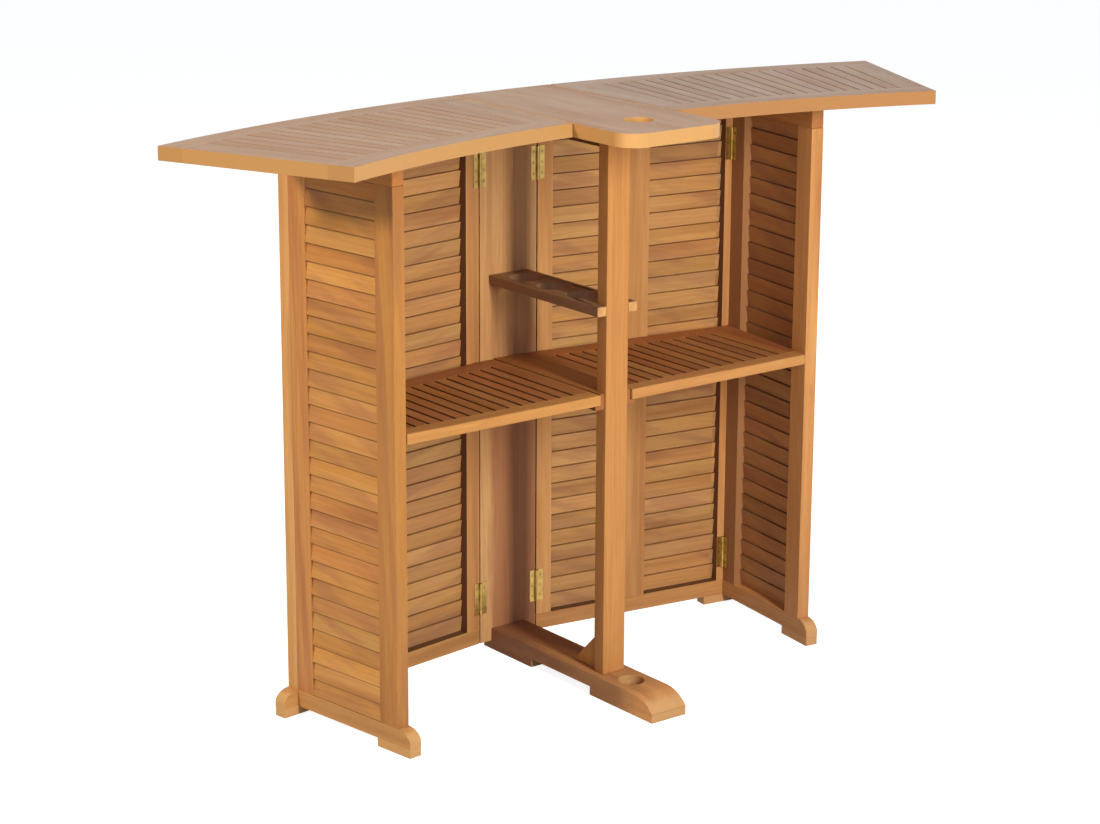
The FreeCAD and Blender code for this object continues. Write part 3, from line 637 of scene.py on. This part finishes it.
class Teak(Enum):
    """The kinds of teak in the table, by where they show; some carry painted shade, some a painted
    lighter tone.
    """

    FRAME = TeakFinish()
    # The slats' long edges are painted with the shade of the lines between slats.
    LEFT_SIDE_SLAT = TeakFinish(
        honey=(0.620, 0.308, 0.092), amber=(0.545, 0.240, 0.062), straw=(0.600, 0.355, 0.122),
        rose=(0.450, 0.205, 0.083), board_spread=0.14, mixed_boards=0.55, patches=0.7, groove=0.55,
    )
    # Browner painted shade in the lines between slats inside the booth.
    FRONT_SLAT = replace(
        LEFT_SIDE_SLAT, honey=(0.625, 0.340, 0.125), amber=(0.550, 0.268, 0.090),
        straw=(0.605, 0.390, 0.165), rose=(0.430, 0.215, 0.105), groove=0.45,
        soot=(0.090, 0.040, 0.018),
    )
    # A darker copy: painted shade of the right side panel's inner face, which the left wing keeps
    # from the light.
    RIGHT_SIDE_SLAT = replace(
        LEFT_SIDE_SLAT, honey=(0.530, 0.268, 0.100), amber=(0.460, 0.210, 0.075),
        straw=(0.510, 0.300, 0.120), rose=(0.390, 0.180, 0.088),
    )
    FRONT_TOP_RAIL = replace(FRAME, honey=(0.660, 0.345, 0.125), amber=(0.540, 0.255, 0.082))
    # Painted shade on the stiles' narrow edges at the louvre reveals.
    FRONT_STILE = replace(
        FRONT_TOP_RAIL, honey=(0.680, 0.375, 0.145), patches=0.2, patch_pitch=1.3,
        groove=0.85, soot=(0.085, 0.034, 0.020),
    )
    LEFT_SIDE_STILE = replace(
        FRAME, honey=(0.580, 0.268, 0.071), amber=(0.440, 0.178, 0.040),
        rose=(0.400, 0.165, 0.060), patches=0.8, patch_pitch=1.3,
    )
    # The far stile is painted in the shade of the corner, which gets little light.
    RIGHT_SIDE_STILE = replace(
        FRAME, honey=(0.700, 0.350, 0.125), amber=(0.560, 0.250, 0.085),
        patches=0.6, patch_pitch=1.3,
        heart=Heartwood(Heartwood.WHOLE_LENGTH, (-0.13, -0.15), (0.375, 0.190, 0.080)),
    )
    # The lower plank is painted dark right of its left strip: shadow of rack and bearer, partly
    # darker heartwood.
    PLANK = replace(
        FRAME, honey=(0.640, 0.360, 0.152), amber=(0.560, 0.285, 0.110),
        mixed_boards=0.0, streaks=0.3,
        heart=Heartwood((0.48, 0.66), (-0.042, -0.030), (0.420, 0.190, 0.088)),
    )
    # The rack is painted in shade on its top and sides; only its lit front end keeps the pale
    # wood.
    RACK = TeakFinish(
        honey=(0.640, 0.350, 0.140), amber=(0.560, 0.280, 0.100), umber=(0.130, 0.055, 0.025),
        mixed_boards=0.0, end_grain=0.0,
        heart=Heartwood(
            (-0.0885, -0.0900), Heartwood.WHOLE_WIDTH, (0.290, 0.155, 0.080), wander=0.0
        ),
    )
    # A darker copy: painted shade of the parts under the top; the slats' edges get painted shade
    # in the gaps.
    SHELF_BACK_RAIL = TeakFinish(
        honey=(0.480, 0.200, 0.065), amber=(0.410, 0.158, 0.045), straw=(0.450, 0.218, 0.075),
        rose=(0.330, 0.130, 0.055), board_spread=0.16, mixed_boards=0.8,
    )
    SHELF_SLAT = replace(SHELF_BACK_RAIL, groove=0.65)
    WING_FOOT = TeakFinish(
        honey=(0.620, 0.318, 0.115), amber=(0.530, 0.248, 0.080),
        end_grain=0.7, end_tone=(0.640, 0.365, 0.155),
    )
    # The foot's back part is painted in the shade of plank and shelf above it.
    CENTRE_FOOT = replace(
        WING_FOOT, honey=(0.600, 0.328, 0.130), amber=(0.520, 0.262, 0.095),
        end_tone=(0.530, 0.315, 0.135), patches=0.4, patch_pitch=2.5,
        heart=Heartwood((0.12, -0.04), Heartwood.WHOLE_WIDTH, (0.290, 0.135, 0.064)),
    )
    # Painted shade on the bottom rail's top ledge under the slats.
    FRONT_BOTTOM_RAIL = replace(WING_FOOT, groove=0.85, soot=(0.075, 0.034, 0.020))
    # Slats of the top: a little painted shade on their edges in the gaps.
    LEFT_LEAF_SLAT = TeakFinish(
        honey=(0.425, 0.213, 0.063), amber=(0.362, 0.164, 0.041), straw=(0.390, 0.217, 0.074),
        rose=(0.340, 0.150, 0.061), board_spread=0.05, mixed_boards=0.5, groove=0.15,
        gloss_low=0.25, gloss_high=0.38, shine=0.25,
    )
    # The centre board's edge faces are painted a lighter tone, for the light that falls on them.
    CENTRE_TOP = replace(
        LEFT_LEAF_SLAT, groove=0.7, soot=(0.560, 0.300, 0.110),
        end_grain=0.7, end_tone=(0.600, 0.340, 0.125),
    )
    # The rims' upright edge faces are painted a lighter tone, for the light that falls on them.
    LEFT_RIM = replace(
        LEFT_LEAF_SLAT, groove=0.9, soot=(0.480, 0.258, 0.088),
        end_grain=0.7, end_tone=(0.440, 0.238, 0.083),
    )
    # A darker copy: painted shade of the right leaf, with darker painted shade in its gaps.
    RIGHT_LEAF_SLAT = replace(
        LEFT_LEAF_SLAT, honey=(0.350, 0.178, 0.056), amber=(0.295, 0.136, 0.037),
        straw=(0.320, 0.180, 0.064), groove=0.8,
    )
    # A darker copy of the rim with the right leaf's painted shade; its edge faces painted a
    # lighter tone.
    RIGHT_RIM = replace(
        RIGHT_LEAF_SLAT, groove=0.9, soot=(0.430, 0.208, 0.075),
        end_grain=0.7, end_tone=(0.440, 0.238, 0.083),
    )


@dataclass(frozen=True)
class BrassFinish:
    """Satin brass with a little tarnish and fine rubbed lines.

    Args:
        bright: Colour of rubbed brass.
        dull: Colour of tarnished brass.
        roughness: Middle roughness.
    """

    CLOUD_SCALE = (90.0, 90.0, 70.0)
    CLOUD_BAND = (0.38, 0.72)
    LINE_SCALE = (1500.0, 1500.0, 60.0)
    TARNISH = 0.85
    ROUGH_SPREAD = 0.22
    BUMP = {"Strength": 0.15, "Distance": 0.0001}

    bright: Colour = (0.58, 0.40, 0.125)
    dull: Colour = (0.42, 0.27, 0.08)
    roughness: float = 0.36

    def material(self, name: str) -> bpy.types.Material:
        """Make the finish.

        Args:
            name: Name of the material.

        Returns:
            The new material.
        """
        bench = NodeBench(name)
        place = bench.add("TexCoord").outputs["Object"]
        clouds = bench.noise(bench.stretched(place, self.CLOUD_SCALE), 4.0)
        lines = bench.noise(bench.stretched(place, self.LINE_SCALE), 2.0)
        tarnish = bench.between(clouds, *self.CLOUD_BAND, 0.0, self.TARNISH)
        colour = bench.mixed(tarnish, self.bright, self.dull)
        smoothest = self.roughness - self.ROUGH_SPREAD / 2
        rough = bench.maths("MULTIPLY_ADD", clouds, self.ROUGH_SPREAD, smoothest)
        normal = bench.add("Bump", {**self.BUMP, "Height": lines}).outputs["Normal"]
        shader = bench.add(
            "BsdfPrincipled", {"Base Color": colour, "Roughness": rough, "Normal": normal}
        )
        shader.inputs["Metallic"].default_value = 1.0
        return bench.finish(shader)


@dataclass(frozen=True)
class FloorFinish:
    """Pale matt studio floor that shows white to the camera and keeps the table's shadow.

    Args:
        colour: Colour of the floor.
        lift: Light that the floor adds where the camera or a reflection sees it.
    """

    colour: Colour = (0.55, 0.55, 0.55)
    lift: float = 0.86

    def material(self, name: str) -> bpy.types.Material:
        """Make the finish.

        Args:
            name: Name of the material.

        Returns:
            The new material.
        """
        bench = NodeBench(name)
        path = bench.add("LightPath")
        seen = bench.maths("MAXIMUM", path.outputs["Is Camera Ray"], path.outputs["Is Glossy Ray"])
        seen = bench.maths("MAXIMUM", seen, path.outputs["Is Transmission Ray"])
        matt = bench.add("BsdfDiffuse", {"Color": (*self.colour, 1.0)})
        glow = bench.add("Emission", {"Strength": bench.maths("MULTIPLY", seen, self.lift)})
        both = bench.add("AddShader", {0: matt.outputs[0], 1: glow.outputs[0]})
        return bench.finish(both)


def smooth_faces() -> bpy.types.NodeTree:
    """A modifier group that shades every face smooth, for round walls."""
    tree = bpy.data.node_groups.new("smooth_faces", "GeometryNodeTree")
    tree.interface.new_socket("Geometry", in_out="INPUT", socket_type="NodeSocketGeometry")
    tree.interface.new_socket("Geometry", in_out="OUTPUT", socket_type="NodeSocketGeometry")
    start = tree.nodes.new("NodeGroupInput")
    shade = tree.nodes.new("GeometryNodeSetShadeSmooth")
    end = tree.nodes.new("NodeGroupOutput")
    tree.links.new(start.outputs[0], shade.inputs["Geometry"])
    tree.links.new(shade.outputs[0], end.inputs[0])
    return tree


class Workshop:
    """What all sub-assemblies share: the frame's objects, the finishes and the edge tools."""

    WELD = 0.00002
    EDGE_ANGLE = math.radians(35.0)
    EDGE_SEGMENTS = 2

    def __init__(self, nodes: dict[str, bpy.types.Object]) -> None:
        """Keep the frame's objects.

        Args:
            nodes: The frame's objects by name.
        """
        self.nodes = nodes
        self.brass = BrassFinish().material("satin_brass")
        # Darker brass for pins and screws: tarnish, and the painted shade of hinge knuckles and
        # screw heads.
        self.dark_brass = BrassFinish(
            bright=(0.46, 0.31, 0.115), dull=(0.20, 0.13, 0.055), roughness=0.46
        ).material("tarnished_shaded_brass")
        self.smooth = smooth_faces()
        self.cache: dict[tuple[Grain, Teak], bpy.types.Material] = {}

    def wood(self, grain: Grain, kind: Teak = Teak.FRAME) -> bpy.types.Material:
        """The teak material for a way of laying the grain, made once.

        Args:
            grain: How the grain runs.
            kind: The kind of teak.

        Returns:
            The material.
        """
        key = (grain, kind)
        if key not in self.cache:
            self.cache[key] = kind.value.material(f"teak_{len(self.cache):02d}", grain)
        return self.cache[key]

    def dress(self, name: str, material: bpy.types.Material, edge: Edge) -> None:
        """Give one CAD object its material and soft edges.

        Args:
            name: The object's name.
            material: Its finish.
            edge: How far its arrises are eased.
        """
        piece = self.nodes[name]
        piece.data.materials.clear()
        piece.data.materials.append(material)
        weld = piece.modifiers.new("joined", "WELD")
        weld.merge_threshold = self.WELD
        bevel = piece.modifiers.new("eased", "BEVEL")
        bevel.width = edge.value
        bevel.segments = self.EDGE_SEGMENTS
        bevel.limit_method = "ANGLE"
        bevel.angle_limit = self.EDGE_ANGLE
        shade = piece.modifiers.new("shaded", "NODES")
        shade.node_group = self.smooth
        piece.modifiers.new("weighted", "WEIGHTED_NORMAL")
        LOG.info("dressed %s in %s", name, material.name)

    def dress_woods(self, start: str, woods: dict[str, tuple[Grain, Teak, Edge]]) -> None:
        """Dress teak pieces whose names start alike.

        Args:
            start: Start of their names.
            woods: The rest of each name to its grain, kind of teak and edges.
        """
        for name, (grain, kind, edge) in woods.items():
            self.dress(start + name, self.wood(grain, kind), edge)


@dataclass
class CentreFrame:
    """Back plank, front post, rails, rack, bearer and centre board, with the fixed hinge halves.

    Args:
        shop: Shared objects and finishes.
        upright: Pieces with upright grain.
        to_guests: Pieces with their grain from the server to the guests.
        base: Pieces of the foot, cut from one board.
        base_seed: Picks that board.
        bright_metal: Pieces of satin brass.
        dull_metal: Pieces of darker brass: tarnish, with painted shade of knuckles and screw
            heads.
    """

    shop: Workshop
    upright: tuple[str, ...] = ("front_post", "post_gusset")
    to_guests: tuple[str, ...] = ("shelf_bearer", "top_rail")
    base: tuple[str, ...] = ("foot_rail", "base_foot_pads")
    base_seed: float = 0.31
    bright_metal: tuple[str, ...] = ("plank_hinge_leaves", "leaf_hinge_fixed_leaves")
    dull_metal: tuple[str, ...] = ("plank_hinge_pins", "plank_hinge_screws", "leaf_hinge_pins")

    def dress(self) -> None:
        """Give every piece of the centre frame its finish."""
        upright = StraightGrain(along=(0, 0, 1), across=(1, 0, 0))
        to_guests = StraightGrain(along=(0, 1, 0), across=(1, 0, 0))
        for name in self.upright:
            self.shop.dress(name, self.shop.wood(upright), Edge.BOARD)
        self.shop.dress("back_plank", self.shop.wood(upright, Teak.PLANK), Edge.BOARD)
        self.shop.dress("bottle_rack", self.shop.wood(to_guests, Teak.RACK), Edge.BOARD)
        for name in self.to_guests:
            self.shop.dress(name, self.shop.wood(to_guests, Teak.SHELF_SLAT), Edge.BOARD)
        base = replace(to_guests, seed=self.base_seed)
        for name in self.base:
            self.shop.dress(name, self.shop.wood(base, Teak.CENTRE_FOOT), Edge.FOOT)
        self.shop.dress("centre_top", self.shop.wood(to_guests, Teak.CENTRE_TOP), Edge.BOARD)
        for name in self.bright_metal:
            self.shop.dress(name, self.shop.brass, Edge.METAL)
        for name in self.dull_metal:
            self.shop.dress(name, self.shop.dark_brass, Edge.METAL)


@dataclass
class Wing:
    """Front and side louvre panels of one side, with pads, cleat and hinges.

    Args:
        shop: Shared objects and finishes.
        side: Which side of the table.
        lean: Angle of the front panel to the back plank, in degrees.
        slat_tilt: Tilt of the louvre slats, in degrees.
        slat_pitch: Height from one slat to the next.
        first_slat: Height of the middle of the lowest slat.
        slat_depth: Middle of the slats outwards from the panel's inner face.
        hinge_axis: X and Y of the plank hinge on the right-hand side.
        hinge_offset: From the hinge axis to the panels' inner faces.
        side_panel_at: From the hinge axis along the front panel to the side panel.
        bays_end: From the hinge axis past the front panel's louvre bays.
        bay_pitch: From one louvre bay of the front panel to the next.
        front_stile_pitch: Spacing that tells the front panel's stiles apart.
        side_stile_pitch: Spacing that tells the side panel's stiles apart.
    """

    SIDE_SLATS = {Side.LEFT: Teak.LEFT_SIDE_SLAT, Side.RIGHT: Teak.RIGHT_SIDE_SLAT}
    SIDE_STILES = {Side.LEFT: Teak.LEFT_SIDE_STILE, Side.RIGHT: Teak.RIGHT_SIDE_STILE}
    FOOT_SEEDS = {Side.LEFT: 0.3, Side.RIGHT: 0.7}

    shop: Workshop
    side: Side
    lean: float = 8.0
    slat_tilt: float = 7.0
    slat_pitch: float = 0.03116
    first_slat: float = 0.06153
    slat_depth: float = 0.0187
    hinge_axis: tuple[float, float] = (0.065, 0.2228)
    hinge_offset: float = 0.0032
    side_panel_at: float = 0.422
    bays_end: float = 0.425
    bay_pitch: float = 0.2
    front_stile_pitch: float = 0.19
    side_stile_pitch: float = 0.2

    def directions(self) -> tuple[Triple, Triple]:
        """Directions along the front panel and out of its outer face."""
        turn = math.radians(self.lean)
        sign = self.side.value
        along = (sign * math.cos(turn), -math.sin(turn), 0.0)
        outwards = (sign * math.sin(turn), math.cos(turn), 0.0)
        return along, outwards

    def corner(self) -> Vector:
        """Where the front panel's inner face passes the plank hinge's axis."""
        _, outwards = self.directions()
        axis = Vector((self.side.value * self.hinge_axis[0], self.hinge_axis[1], 0.0))
        return axis + Vector(outwards) * self.hinge_offset

    def slat_row(self, face: Vector, outwards: Triple) -> BoardRow:
        """How the louvre slats of one panel follow one another, along their own width.

        Args:
            face: A point on the panel's inner face.
            outwards: Direction out of the panel's outer face.

        Returns:
            The row of slats.
        """
        tilt = math.radians(self.slat_tilt)
        axis = Vector((0, 0, math.cos(tilt))) - Vector(outwards) * math.sin(tilt)
        lowest = face + Vector(outwards) * self.slat_depth + Vector((0, 0, self.first_slat))
        step = self.slat_pitch * math.cos(tilt)
        return BoardRow(tuple(axis), axis.dot(lowest) - step / 2, step)

    def dress(self) -> None:
        """Give every piece of the wing its finish."""
        along, outwards = self.directions()
        inwards = tuple(-Vector(outwards))
        up = (0, 0, 1)
        corner = self.corner()
        side_corner = corner + Vector(along) * self.side_panel_at
        hinge_at = corner.dot(Vector(along))
        bays = BoardRow(along, hinge_at, self.bay_pitch)
        stiles = BoardRow(along, hinge_at, self.front_stile_pitch)
        side_stiles = BoardRow(inwards, corner.dot(Vector(inwards)), self.side_stile_pitch)
        # Shade is painted on the long edges only up to just past the louvre bays.
        dirty_to = (along, hinge_at + self.bays_end)
        seed = self.FOOT_SEEDS[self.side]
        front_run, side_run = StraightGrain(along, up), StraightGrain(inwards, up)
        pad_run = tuple((Vector(along) + Vector(inwards)).normalized())
        pads = StraightGrain(pad_run, up, seed=seed)
        front_foot = replace(front_run, seed=seed, dirty_to=dirty_to)
        front_upright = StraightGrain(up, along, (stiles,), dirty_to=dirty_to)
        side_upright = StraightGrain(up, inwards, (side_stiles,))
        # Slats lap, with a shadow painted under each lip on the outer face.
        front_rows = (self.slat_row(corner, outwards), bays)
        front_slats = replace(front_run, rows=front_rows, outside=outwards)
        side_rows = (self.slat_row(side_corner, along),)
        side_slats = replace(side_run, rows=side_rows, outside=along)
        woods = {
            "front_top_rail": (front_run, Teak.FRONT_TOP_RAIL, Edge.BOARD),
            "front_bottom_rail": (front_foot, Teak.FRONT_BOTTOM_RAIL, Edge.FOOT),
            "front_stiles": (front_upright, Teak.FRONT_STILE, Edge.BOARD),
            "front_louvres": (front_slats, Teak.FRONT_SLAT, Edge.SLAT),
            "side_top_rail": (side_run, Teak.FRAME, Edge.BOARD),
            "side_bottom_rail": (replace(side_run, seed=seed), Teak.WING_FOOT, Edge.FOOT),
            "side_stiles": (side_upright, self.SIDE_STILES[self.side], Edge.BOARD),
            "side_louvres": (side_slats, self.SIDE_SLATS[self.side], Edge.SLAT),
            "wing_foot_pads": (pads, Teak.WING_FOOT, Edge.FOOT),
            "shelf_cleat": (side_run, Teak.FRAME, Edge.BOARD),
        }
        self.shop.dress_woods(f"{self.side.label}_", woods)
        for name in ("wing_hinge_leaves", "corner_hinge_leaves"):
            self.shop.dress(f"{self.side.label}_{name}", self.shop.brass, Edge.METAL)
        for name in ("corner_hinge_pins", "wing_screws"):
            self.shop.dress(f"{self.side.label}_{name}", self.shop.dark_brass, Edge.METAL)


@dataclass
class Leaf:
    """One curved leaf of the top: two bent rims, end rails and a fan of slats.

    Args:
        shop: Shared objects and finishes.
        side: Which side of the table.
        far_radius: Radius of the edge towards the guests.
        far_y: Where that edge crosses the middle line.
        near_radius: Radius of the edge towards the server.
        near_y: Where that edge crosses the middle line.
        fan_y: Y of the point the slats fan out from.
        fan_radius: Distance from that point to the middle of the slats.
        fan_start: Angle at which the first slat begins, in degrees.
        fan_end: Angle at which the last slat ends, in degrees.
        slat_count: Number of slats.
    """

    RIMS = {Side.LEFT: Teak.LEFT_RIM, Side.RIGHT: Teak.RIGHT_RIM}
    SLATS = {Side.LEFT: Teak.LEFT_LEAF_SLAT, Side.RIGHT: Teak.RIGHT_LEAF_SLAT}

    shop: Workshop
    side: Side
    far_radius: float = 2.4
    far_y: float = 0.251
    near_radius: float = 1.7
    near_y: float = -0.098
    fan_y: float = -1.6402
    fan_radius: float = 1.74
    fan_start: float = 6.0
    fan_end: float = 21.98
    slat_count: int = 17

    def dress(self) -> None:
        """Give every piece of the leaf its finish."""
        whole, start = math.tau, math.radians(self.fan_start)
        step = math.radians(self.fan_end - self.fan_start) / self.slat_count
        far_centre, near_centre = self.far_y - self.far_radius, self.near_y - self.near_radius
        far = RoundGrain(far_centre, self.far_radius, False, 0.0, whole)
        near = RoundGrain(near_centre, self.near_radius, False, 0.0, whole)
        ends = RoundGrain(self.fan_y, self.fan_radius, True, 0.0, 2 * start)
        fan = RoundGrain(self.fan_y, self.fan_radius, True, start, step)
        rim, slats = self.RIMS[self.side], self.SLATS[self.side]
        woods = {
            "far_rim": (far, rim, Edge.BOARD),
            "near_rim": (near, rim, Edge.BOARD),
            "end_rails": (ends, rim, Edge.SLAT),
            "slats": (fan, slats, Edge.SLAT),
        }
        start_of_name = f"{self.side.label}_leaf_"
        self.shop.dress_woods(start_of_name, woods)
        self.shop.dress(start_of_name + "hinge_leaves", self.shop.brass, Edge.METAL)


@dataclass
class Shelf:
    """One slatted shelf.

    Args:
        shop: Shared objects and finishes.
        side: Which side of the table.
        inner_edge: Distance of the shelf's inner end from the middle line.
        inner_slat: Width of the slat at the inner end.
        slat_pitch: From one slat to the next.
        slat_gap: Gap between slats.
    """

    shop: Workshop
    side: Side
    inner_edge: float = 0.035
    inner_slat: float = 0.036
    slat_pitch: float = 0.0278
    slat_gap: float = 0.0055

    def dress(self) -> None:
        """Give the shelf's rails and slats their finish."""
        outwards = (float(self.side.value), 0.0, 0.0)
        start = self.inner_edge + self.inner_slat + self.slat_gap / 2
        row = BoardRow(outwards, start, self.slat_pitch)
        rails = StraightGrain(outwards, (0, 1, 0))
        slats = StraightGrain((0, 1, 0), outwards, (row,))
        woods = {
            "front_rail": (rails, Teak.FRAME, Edge.BOARD),
            "back_rail": (rails, Teak.SHELF_BACK_RAIL, Edge.BOARD),
            "slats": (slats, Teak.SHELF_SLAT, Edge.SLAT),
        }
        self.shop.dress_woods(f"{self.side.label}_shelf_", woods)


@dataclass(frozen=True)
class Lamp:
    """One soft rectangular lamp.

    Args:
        name: Name of the lamp.
        place: Where it hangs, in metres.
        target: What it points at.
        size: Its width and height.
        power: Its power in watts.
        colour: Colour of its light.
    """

    name: str
    place: Triple
    target: Triple
    size: tuple[float, float]
    power: float
    colour: Colour = (1.0, 1.0, 1.0)


@dataclass
class Studio:
    """Floor, lights and camera.

    Args:
        camera_at: Place of the camera, in metres.
        yaw: Heading of the camera from +Y towards +X, in degrees.
        pitch: Angle of the view above level, in degrees.
        roll: Turn about the view direction, in degrees.
        focal_px: Focal length in pixels of the image.
        floor_half: Half the floor's width.
        sky: Strength of the even light all round.
        tint: Colour of that light.
        glow: Strength of the white that the camera and reflections see.
        lamps: The soft lamps.
    """

    IVORY = (1.0, 0.95, 0.84)
    GOLD = (1.0, 0.87, 0.60)
    CREAM = (1.0, 0.95, 0.86)

    camera_at: Triple = (-3.00607, -3.7929, 1.8589)
    yaw: float = 37.678
    pitch: float = -15.624
    roll: float = 0.294
    focal_px: float = 2825.45
    floor_half: float = 40.0
    sky: float = 0.22
    tint: Colour = (0.86, 0.98, 1.50)
    glow: float = 1.0
    lamps: tuple[Lamp, ...] = (
        Lamp("front_strip", (-0.22, -2.5, 1.5), (0.0, 0.0, 0.62), (0.25, 1.6), 69.0, IVORY),
        Lamp("left_side", (-4.0, 0.6, 2.55), (-0.5, 0.0, 0.6), (0.5, 0.5), 118.0, GOLD),
        Lamp("left_fill", (-2.8, -3.2, 2.2), (0.0, 0.0, 0.6), (2.0, 2.0), 24.0),
        Lamp("back_fill", (0.6, 4.2, 2.4), (0.0, 0.2, 0.6), (1.2, 1.2), 62.0, CREAM),
        Lamp("right_fill", (4.2, 0.4, 2.4), (0.5, 0.0, 0.6), (1.2, 1.2), 42.0, CREAM),
    )

    def build_camera(self) -> None:
        """Place the camera at the photograph's angle."""
        yaw, pitch, roll = (math.radians(a) for a in (self.yaw, self.pitch, self.roll))
        level = math.cos(pitch)
        ahead = Vector((math.sin(yaw) * level, math.cos(yaw) * level, math.sin(pitch)))
        right = Vector((math.cos(yaw), -math.sin(yaw), 0.0))
        up = right.cross(ahead)
        turned_right = math.cos(roll) * right + math.sin(roll) * up
        turned_up = math.cos(roll) * up - math.sin(roll) * right
        data = bpy.data.cameras.new("camera")
        data.sensor_fit = "HORIZONTAL"
        data.sensor_width = SENSOR_WIDTH_MM
        data.lens = self.focal_px / IMAGE_WIDTH_PX * SENSOR_WIDTH_MM
        data.clip_end = CLIP_END
        camera = bpy.data.objects.new("camera", data)
        axes = Matrix((turned_right, turned_up, -ahead)).transposed().to_4x4()
        camera.matrix_world = Matrix.Translation(Vector(self.camera_at)) @ axes
        bpy.context.scene.collection.objects.link(camera)
        bpy.context.scene.camera = camera

    def build_floor(self) -> None:
        """Lay the floor under the table."""
        half = self.floor_half
        mesh = bpy.data.meshes.new("floor")
        corners = [(-half, -half, 0), (half, -half, 0), (half, half, 0), (-half, half, 0)]
        mesh.from_pydata(corners, [], [(0, 1, 2, 3)])
        mesh.materials.append(FloorFinish().material("studio_floor"))
        floor = bpy.data.objects.new("floor", mesh)
        bpy.context.scene.collection.objects.link(floor)

    def build_light(self, lamp: Lamp) -> None:
        """Hang one soft lamp.

        Args:
            lamp: Where it hangs and how strong it is.
        """
        data = bpy.data.lights.new(lamp.name, "AREA")
        data.shape = "RECTANGLE"
        data.size, data.size_y = lamp.size
        data.energy = lamp.power
        data.color = lamp.colour
        holder = bpy.data.objects.new(lamp.name, data)
        aim = Vector(lamp.target) - Vector(lamp.place)
        holder.rotation_euler = aim.to_track_quat("-Z", "Y").to_euler()
        holder.location = lamp.place
        holder.visible_glossy = False
        bpy.context.scene.collection.objects.link(holder)

    def build_world(self) -> None:
        """Even tinted light all round, and plain white for the camera and reflections."""
        world = bpy.data.worlds.new("studio")
        world.use_nodes = True
        tree = world.node_tree
        path = tree.nodes.new("ShaderNodeLightPath")
        seen = tree.nodes.new("ShaderNodeMath")
        seen.operation = "MAXIMUM"
        strength = tree.nodes.new("ShaderNodeMapRange")
        strength.inputs["To Min"].default_value = self.sky
        strength.inputs["To Max"].default_value = self.glow
        background = tree.nodes["Background"]
        colour = tree.nodes.new("ShaderNodeMixRGB")
        colour.inputs[1].default_value = (*self.tint, 1.0)
        colour.inputs[2].default_value = (1.0, 1.0, 1.0, 1.0)
        tree.links.new(seen.outputs[0], colour.inputs["Fac"])
        tree.links.new(colour.outputs["Color"], background.inputs["Color"])
        tree.links.new(path.outputs["Is Camera Ray"], seen.inputs[0])
        tree.links.new(path.outputs["Is Glossy Ray"], seen.inputs[1])
        tree.links.new(seen.outputs[0], strength.inputs["Value"])
        tree.links.new(strength.outputs["Result"], background.inputs["Strength"])
        bpy.context.scene.world = world

    def build(self) -> None:
        """Set up the whole studio."""
        self.build_camera()
        self.build_floor()
        self.build_world()
        for lamp in self.lamps:
            self.build_light(lamp)
        bpy.context.scene.view_settings.view_transform = "Standard"


def corners(box: tuple[Vector, Vector]) -> list[list[float]]:
    """A box's two corners as plain lists of numbers."""
    return [[float(v) for v in corner] for corner in box]


def main() -> None:
    """Dress the table and set up the studio."""
    logging.basicConfig(level=logging.INFO, format="%(name)s: %(message)s")
    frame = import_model()
    shop = Workshop(frame["nodes"])
    CentreFrame(shop).dress()
    for side in Side:
        Wing(shop, side).dress()
        Leaf(shop, side).dress()
        Shelf(shop, side).dress()
    Studio().build()


if __name__ == "__main__":
    main()
